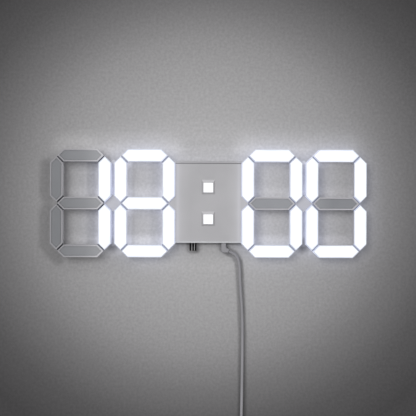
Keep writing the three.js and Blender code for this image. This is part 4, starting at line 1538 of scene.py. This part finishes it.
    def screws(self) -> None:
        """Builds the four pan-head screws with their cross recesses."""
        profile = [(0.0, 0.2), (1.5, 0.2), (2.2, 0.45), (2.6, 1.1), (2.6, 2.1), (1.4, 2.1)]
        profile += [(1.4, 12.2), (0.9, 12.7), (0.0, 12.7)]
        for number, (x, z) in enumerate(self.screw_places(), start=1):
            shape = bmesh.new()
            points = [(x + r, -depth, z) for r, depth in profile]
            turn_round(shape, points, (x, 0.0, z), (0.0, 1.0, 0.0), 36, closed=False)
            cross = []
            for wide, tall in ((1.4, 0.3), (0.3, 1.4)):
                cutter = bmesh.new()
                add_box(cutter, (x - wide, -PAST, z - tall), (x + wide, 1.2, z + tall))
                cross.append(cutter)
            name, nodes = f"cover_screw_{number}_turned", [f"cover_screw_{number}"]
            finished(name, shape, Look.ZINC, Slot.SCREW, nodes, cutters=cross)

    def buttons(self) -> None:
        """Builds the three plungers with their flanges."""
        names = ("left", "middle", "right")
        bodies = (Body.LEFT_BUTTON, Body.MIDDLE_BUTTON, Body.RIGHT_BUTTON)
        depth, z = self.button_depth, self.flange_z
        for name, body, x in zip(names, bodies, self.button_xs):
            shape = bmesh.new()
            wide, deep = self.button_half
            low = (x - wide, depth - deep, self.bottom - self.button_reach)
            add_box(shape, low, (x + wide, depth + deep, z))
            soften(shape, 0.35, segments=3)
            wide, deep = self.flange_half
            low = (x - wide, depth - deep, z - 0.1)
            add_box(shape, low, (x + wide, depth + deep, z + 1.1))
            nodes = [f"button_{name}"]
            finished(f"button_{name}_plunger", shape, Look.BLACK, Slot.BLACK, nodes, body)

    def build(self) -> None:
        """Builds the whole centre body."""
        self.front_cover()
        self.bezels()
        self.colon()
        self.rear_cover()
        self.screws()
        self.buttons()
        repaint("main_board", Look.BOARD)
        repaint("coin_cell", Look.STEEL)
        repaint("power_socket", Look.BLACK)


@dataclass
class Rail:
    """The rail behind the digits, with a bridge in each notch between two of them."""

    reach: float = 205.9
    back: float = 2.1
    front: float = 5.9
    height: float = 13.0
    web: float = 1.4
    flange: float = 1.4
    bridge_x: float = 143.75
    bridge_reach: float = 13.08
    bridge_wall: float = 1.6
    bridge_front: float = 12.0

    def diamond(self, x: float, inset: float) -> Outline:
        """Draws a bridge's outline round its middle, at an inset from its outside."""
        reach = self.bridge_reach - inset * math.sqrt(2)
        return [(x + reach, 0.0), (x, reach), (x - reach, 0.0), (x, -reach)]

    def channel(self) -> None:
        """Builds the rail's channel, open to the front."""
        half, inner = self.height / 2, self.height / 2 - self.flange
        floor = self.back + self.web
        section = [(self.back, -half), (self.front, -half), (self.front, -inner), (floor, -inner)]
        section += [(floor, inner), (self.front, inner), (self.front, half), (self.back, half)]
        shape = bmesh.new()
        sides = (-self.reach, self.reach)
        loft(shape, [[Vector((x, -depth, z)) for depth, z in section] for x in sides])
        soften(shape, 0.2)
        finished("rail_channel", shape, Look.HOUSING, Slot.HOUSING, ["mounting_rail"])

    def bridges(self) -> None:
        """Builds the two caps that fill the notches."""
        section = [
            (self.bridge_wall, self.bridge_front - self.bridge_wall),
            (self.bridge_wall, self.front - 0.2),
            (0.0, self.front - 0.2),
            (0.0, self.bridge_front),
        ]
        for name, x in (("left", -self.bridge_x), ("right", self.bridge_x)):
            shape = bmesh.new()
            loft(shape, [at_depth(self.diamond(x, inset), depth) for inset, depth in section])
            soften(shape, 0.25)
            # The caps take a faint painted glow for the digits' light on both sides.
            finished(f"rail_bridge_{name}", shape, Look.NOTCH, Slot.HOUSING)

    def build(self) -> None:
        """Builds the whole rail."""
        self.channel()
        self.bridges()
        repaint("wiring_loom", Look.CORD)


@dataclass
class PowerLead:
    """The power lead: plug, cord with its coil, tie and the plug on its far end."""

    diameter: float = 4.4
    fit: float = 0.3
    outlet: tuple[float, float, float] = (31.1, 9.0, -71.9)
    outlet_drop: float = 25.0
    route: tuple[tuple[float, float, float], ...] = (
        (36.2, 8.9, -74.2),
        (40.7, 8.7, -77.4),
        (43.7, 8.4, -81.4),
        (45.6, 8.0, -86.2),
        (46.8, 7.4, -92.2),
        (47.6, 6.7, -101.0),
        (48.1, 5.8, -114.0),
        (49.1, 4.9, -129.0),
        (50.3, 4.3, -145.0),
        (51.4, 4.0, -162.0),
        (52.0, 3.9, -182.0),
        (52.2, 3.9, -207.0),
        (52.1, 3.9, -236.0),
        (51.8, 3.9, -266.0),
        (51.4, 3.9, -296.0),
        (51.0, 3.9, -326.0),
        (51.7, 3.9, -332.1),
        (54.1, 3.9, -336.5),
        (58.5, 3.9, -339.1),
        (64.6, 3.9, -340.0),
        (69.0, 3.9, -340.0),
    )
    steps_per_stretch: int = 6
    turns: float = 8.25
    mean_radius: float = 23.5
    pitch: float = 5.0
    steps_per_turn: int = 48
    plug_left: float = 19.65
    plug_right: float = 26.95
    plug_top: float = -59.7
    plug_low: float = -73.5
    plug_half: float = 3.65
    collar: float = 3.0
    barrel_x: float = 23.3
    barrel_z: float = -59.4
    tie_half: float = 3.0
    tie_wall: float = 1.0
    tie_turn: float = -150.0
    relief_rings: int = 9
    ring_pitch: float = 2.2
    relief_length: float = 22.0
    grip_half: tuple[float, float] = (7.85, 4.0)
    grip_length: float = 22.0
    shell_half: tuple[float, float] = (6.0, 2.25)
    shell_wall: float = 0.4
    shell_sunk: float = 21.5
    shell_end: float = 34.0
    tongue_half: float = 5.2
    hole_x: float = 2.9
    hole_half: float = 1.1

    def coil_outer(self) -> float:
        """Gives the radius of the coil's outermost turn."""
        return self.mean_radius + self.pitch * self.turns / 4

    def coil_inner(self) -> float:
        """Gives the radius of the coil's innermost turn."""
        return self.mean_radius - self.pitch * self.turns / 4

    def coil_centre(self) -> tuple[float, float]:
        """Gives the x and z of the coil's middle."""
        x, _, z = self.route[-1]
        return x + self.fit + self.diameter, z - self.coil_outer()

    def start(self) -> Vector:
        """Gives the point where the cord leaves its plug, in millimetres.

        Returns:
            The point.
        """
        slope = math.radians(self.outlet_drop)
        x, depth, z = self.outlet
        return Vector((x + self.fit * math.cos(slope), -depth, z - self.fit * math.sin(slope)))

    def run_down(self) -> list[Vector]:
        """Gives the cord's free run, in millimetres, as smooth curves through the route.

        Returns:
            Its points, from the plug to the coil.
        """
        rough = [self.start()] + [Vector((x, -depth, z)) for x, depth, z in self.route]
        points = [rough[0]]
        for i in range(len(rough) - 1):
            before = rough[max(i - 1, 0)]
            after = rough[min(i + 2, len(rough) - 1)]
            a, b = rough[i], rough[i + 1]
            reach = (b - a).length
            out = (b - before).normalized() * reach / 3
            back = (after - a).normalized() * reach / 3
            for step in range(1, self.steps_per_stretch + 1):
                t = step / self.steps_per_stretch
                near = a * (1 - t) ** 3 + (a + out) * 3 * t * (1 - t) ** 2
                points.append(near + (b - back) * 3 * t * t * (1 - t) + b * t**3)
        return points

    def coil(self) -> list[Vector]:
        """Gives the wound rest of the cord, in millimetres.

        It winds inwards on the wall's side, climbs a pitch and winds outwards in front.

        Returns:
            Its points, from the free run to the far plug.
        """
        x, z = self.coil_centre()
        depth = self.route[-1][1]
        points = []
        steps = round(self.turns * self.steps_per_turn)
        for i in range(steps + 1):
            turn = self.turns * i / steps
            past = turn - self.turns / 2
            radius = self.coil_inner() + self.pitch * abs(past)
            climb = min(max(2 * past + 0.5, 0.0), 1.0)
            angle = QUARTER - 2 * math.pi * turn
            across, up = radius * math.cos(angle), radius * math.sin(angle)
            points.append(Vector((x + across, -depth - climb * self.pitch, z + up)))
        last = points[-1]
        return points + [Vector((last.x, last.y, z - self.diameter))]

    def cord(self, points: Sequence[Vector]) -> Piece:
        """Builds the cord as one curve.

        Args:
            points: its centreline in millimetres.

        Returns:
            The cord.
        """
        curve = bpy.data.curves.new("power_cord", "CURVE")
        curve.dimensions = "3D"
        curve.bevel_depth = self.diameter / 2 * MM
        curve.bevel_resolution = 4
        curve.use_fill_caps = True
        spline = curve.splines.new("POLY")
        spline.points.add(len(points) - 1)
        for target, point in zip(spline.points, points):
            target.co = (*(point * MM), 1.0)
        made = bpy.data.objects.new("power_cord", curve)
        bpy.context.scene.collection.objects.link(made)
        return dress(made, Look.CORD, Slot.CORD, ["cord_run", "cord_coil"], Body.LEAD)

    def plug(self) -> Piece:
        """Builds the right-angle plug: moulding, outlet collar and barrel.

        Returns:
            The moulding.
        """
        x, depth, z = self.outlet
        left, right, top, low = self.plug_left, self.plug_right, self.plug_top, self.plug_low
        slope = math.radians(self.outlet_drop)
        across, up = math.sin(slope) * self.collar, math.cos(slope) * self.collar
        outline = [(left, top), (left, low + 2.1), (left + 0.2, low + 1.2), (left + 0.7, low + 0.5)]
        outline += [(left + 1.5, low + 0.1), (left + 2.6, low), (x - across, z - up)]
        outline += [(x + across, z + up), (right + 1.2, low + 6.1), (right + 0.3, low + 7.4)]
        outline += [(right, low + 9.2), (right, top)]
        shape = bmesh.new()
        half = self.plug_half
        loft(shape, [at_depth(outline, depth - half), at_depth(outline, depth + half)])
        soften(shape, 1.1, segments=4, angle=60.0)
        nodes = ["power_plug"]
        made = finished("power_plug_moulding", shape, Look.CORD, Slot.CORD, nodes, Body.LEAD)
        profile = [(1.25, 8.6), (1.25, 9.3), (2.6, 9.3), (2.75, 9.1), (2.75, -0.6), (0.0, -0.6)]
        profile += [(0.0, 0.8), (1.25, 0.8)]
        points = [(self.barrel_x + r, -depth, self.barrel_z + along) for r, along in profile]
        middle = (self.barrel_x, -depth, 0.0)
        barrel = bmesh.new()
        turn_round(barrel, points, middle, (0.0, 0.0, 1.0), 36, closed=True)
        finished("power_plug_barrel", barrel, Look.STEEL, Slot.STEEL, body=Body.LEAD)
        return made

    def tie(self) -> Piece:
        """Builds the band round the coil's turns.

        Returns:
            The band.
        """
        radius, half = self.diameter / 2, self.tie_half
        near = math.sqrt((self.coil_inner() - radius) ** 2 - half**2) - self.fit
        far = self.coil_outer() + radius + self.fit
        depth = self.route[-1][1]
        back, front = depth - radius - self.fit, depth + self.pitch + radius + self.fit
        loops = []
        for grow, z in ((0.0, half), (self.tie_wall, half), (self.tie_wall, -half), (0.0, -half)):
            low, high, rear, face = near - grow, far + grow, back - grow, front + grow
            corners = ((low, rear), (high, rear), (high, face), (low, face))
            loops.append([Vector((x, -d, z)) for x, d in corners])
        shape = bmesh.new()
        loft(shape, loops, ring=True)
        soften(shape, 0.3)
        x, z = self.coil_centre()
        turn = Matrix.Rotation(math.radians(self.tie_turn), 4, "Y")
        place = Matrix.Translation((x, 0.0, z)) @ turn
        bmesh.ops.transform(shape, matrix=place, verts=shape.verts)
        return finished("coil_band", shape, Look.CORD, Slot.CORD, ["cord_tie"], Body.LEAD)

    def relief(self, x: float, depth: float, top: float) -> Shape:
        """Shapes the ringed relief between the cord and the far plug's grip.

        Args:
            x: its middle.
            depth: its depth.
            top: its upper end.

        Returns:
            The relief.
        """
        profile = [(0.0, top), (2.3, top)]
        for ring in range(self.relief_rings):
            z = top - 1.6 - ring * self.ring_pitch
            swell = 2.35 + 1.15 * (ring + 1) / 10
            profile += [(swell, z), (swell - 0.45, z - 0.15), (swell - 0.45, z - 0.75)]
            profile += [(swell + 0.05, z - 0.9)]
        profile += [(3.6, top - 21.5), (3.6, top - 22.4), (0.0, top - 22.4)]
        shape = bmesh.new()
        points = [(x + r, -depth, z) for r, z in profile]
        turn_round(shape, points, (x, -depth, 0.0), (0.0, 0.0, 1.0), 32, closed=False)
        return shape

    def far_plug(self) -> list[Piece]:
        """Builds the plug on the far end: ringed relief, grip, metal shell and tongue.

        Returns:
            Its pieces.
        """
        x, centre_z = self.coil_centre()
        x += self.coil_outer()
        depth = self.route[-1][1] + self.pitch
        top = centre_z - self.diameter - self.fit
        grip_top = top - self.relief_length
        end, mouth = grip_top - self.shell_end, grip_top - self.shell_sunk
        shell = bmesh.new()
        loops = []
        for wall, z in ((0.0, mouth), (0.0, end), (self.shell_wall, end), (self.shell_wall, mouth)):
            wide, deep = (half - wall for half in self.shell_half)
            corners = ((wide, deep), (-wide, deep), (-wide, -deep), (wide, -deep))
            loops.append([Vector((x + u, v - depth, z)) for u, v in corners])
        loft(shell, loops, ring=True)
        soften(shell, 0.12)
        wide, deep = self.grip_half
        holes, half = bmesh.new(), self.hole_half
        for middle in (x - self.hole_x, x + self.hole_x):
            low = (middle - half, depth - deep, end + 5.0)
            add_box(holes, low, (middle + half, depth + deep, end + 7.2))
        lead, pvc = Body.LEAD, (Look.CORD, Slot.CORD)
        metal = finished("far_plug_shell", shell, Look.STEEL, Slot.STEEL, (), lead, [holes])
        relief = self.relief(x, depth, top)
        grip = bmesh.new()
        low = (x - wide, depth - deep, grip_top - self.grip_length)
        add_box(grip, low, (x + wide, depth + deep, grip_top))
        soften(grip, 1.4, segments=5)
        tongue, half = bmesh.new(), self.tongue_half
        low = (x - half, depth - 1.85, end + 0.4)
        add_box(tongue, low, (x + half, depth - 0.05, grip_top - 21.8))
        soften(tongue, 0.2)
        return [
            finished("far_plug_relief", relief, *pvc, ["far_plug"], lead),
            finished("far_plug_grip", grip, *pvc, body=lead),
            metal,
            finished("far_plug_tongue", tongue, Look.BLACK, Slot.BLACK, body=lead),
        ]

    def build(self) -> None:
        """Builds the whole lead and logs its cord's length."""
        points = self.run_down() + self.coil()
        made = self.cord(points)
        pieces = [self.plug(), self.tie(), *self.far_plug()]
        length = sum((b - a).length for a, b in zip(points, points[1:]))
        self.start() * MM
        log.info("the cord is %.0f mm long", length)


@dataclass
class Studio:
    """The wall behind the clock, the lamps and the camera."""

    frame_px: float = 416.0
    mm_per_px: float = 1.5
    clock_px: tuple[float, float] = (208.25, 203.4)
    distance: float = 2000.0
    roll: float = -0.18
    front: float = 20.0
    sensor: float = 36.0
    wall_half: float = 4000.0
    wall_gap: float = 0.3

    def camera(self) -> None:
        """Sets the camera straight in front, where the photograph has it."""
        data = bpy.data.cameras.new("front_camera")
        data.sensor_width = self.sensor
        data.lens = data.sensor_width * self.distance / (self.frame_px * self.mm_per_px)
        made = bpy.data.objects.new("front_camera", data)
        x = (self.frame_px / 2 - self.clock_px[0]) * self.mm_per_px
        z = (self.clock_px[1] - self.frame_px / 2) * self.mm_per_px
        made.location = Vector((x, -self.distance - self.front, z)) * MM
        made.rotation_euler = (QUARTER, math.radians(self.roll), 0.0)
        bpy.context.scene.collection.objects.link(made)
        bpy.context.scene.camera = made

    def wall(self) -> None:
        """Builds the wall, which isn't part of the clock."""
        shape = bmesh.new()
        place = Matrix.Translation((0.0, self.wall_gap, 0.0)) @ Matrix.Rotation(QUARTER, 4, "X")
        size = self.wall_half
        bmesh.ops.create_grid(shape, x_segments=1, y_segments=1, size=size, matrix=place)
        made = as_object("wall", shape)
        made.data.materials.append(WallPaint("rolled_matt_paint").build())

    def lamp(self, name: str, source: Point, strength: float, spread: float) -> None:
        """Adds a distant lamp.

        Args:
            name: its name.
            source: the direction that it shines from.
            strength: its strength, where pi lights a facing surface as written.
            spread: its apparent size in degrees.
        """
        data = bpy.data.lights.new(name, "SUN")
        data.energy = strength
        data.angle = math.radians(spread)
        made = bpy.data.objects.new(name, data)
        made.rotation_mode = "QUATERNION"
        made.rotation_quaternion = Vector(source).to_track_quat("Z", "Y")
        bpy.context.scene.collection.objects.link(made)

    def light(self) -> None:
        """Sets the lamps, the even light round about and the plain view transform."""
        self.lamp("key", (-0.42, -1.0, 0.3), 1.5, 34.0)
        self.lamp("fill", (0.5, -1.0, 0.1), 0.5, 60.0)
        self.lamp("low_fill", (0.0, -1.0, -0.5), 0.38, 60.0)
        self.lamp("rear_left", (-0.5, 1.0, 0.4), 1.0, 40.0)
        self.lamp("rear_right", (0.6, 1.0, 0.1), 0.9, 40.0)
        world = bpy.data.worlds.new("studio")
        world.use_nodes = True
        tree = world.node_tree
        tree.nodes.clear()
        even = add_node(tree, "Background", {"Color": "#ffffff", "Strength": 0.35})
        seen = add_node(tree, "Background", {"Color": "#dcdcdd", "Strength": 1.0})
        path = add_node(tree, "LightPath").outputs
        rays = {0: path["Is Glossy Ray"], 1: path["Is Transmission Ray"]}
        mirrored = add_node(tree, "Math", rays, operation="MAXIMUM")
        rays = {0: path["Is Camera Ray"], 1: mirrored}
        shown = add_node(tree, "Math", rays, operation="MAXIMUM")
        mixed = add_node(tree, "MixShader", {0: shown, 1: even, 2: seen})
        add_node(tree, "OutputWorld", {"Surface": mixed})
        bpy.context.scene.world = world
        bpy.context.scene.view_settings.view_transform = "Standard"


def main() -> None:
    """Builds the clock and its surroundings."""
    logging.basicConfig(level=logging.INFO, format="%(name)s: %(message)s")
    studio = Studio()
    studio.camera()
    PowerLead().build()
    for digit in (
        Digit(1, -191.9, "bc", (1,)),
        Digit(2, -95.6, "abcdefg", (-1, 1)),
        Digit(3, 95.6, "abcdef", (-1, 1)),
        Digit(4, 191.9, "abcdef", (-1,)),
    ):
        digit.build()
    Rail().build()
    CentreBody().build()
    studio.wall()
    studio.light()


if __name__ == "__main__":
    main()
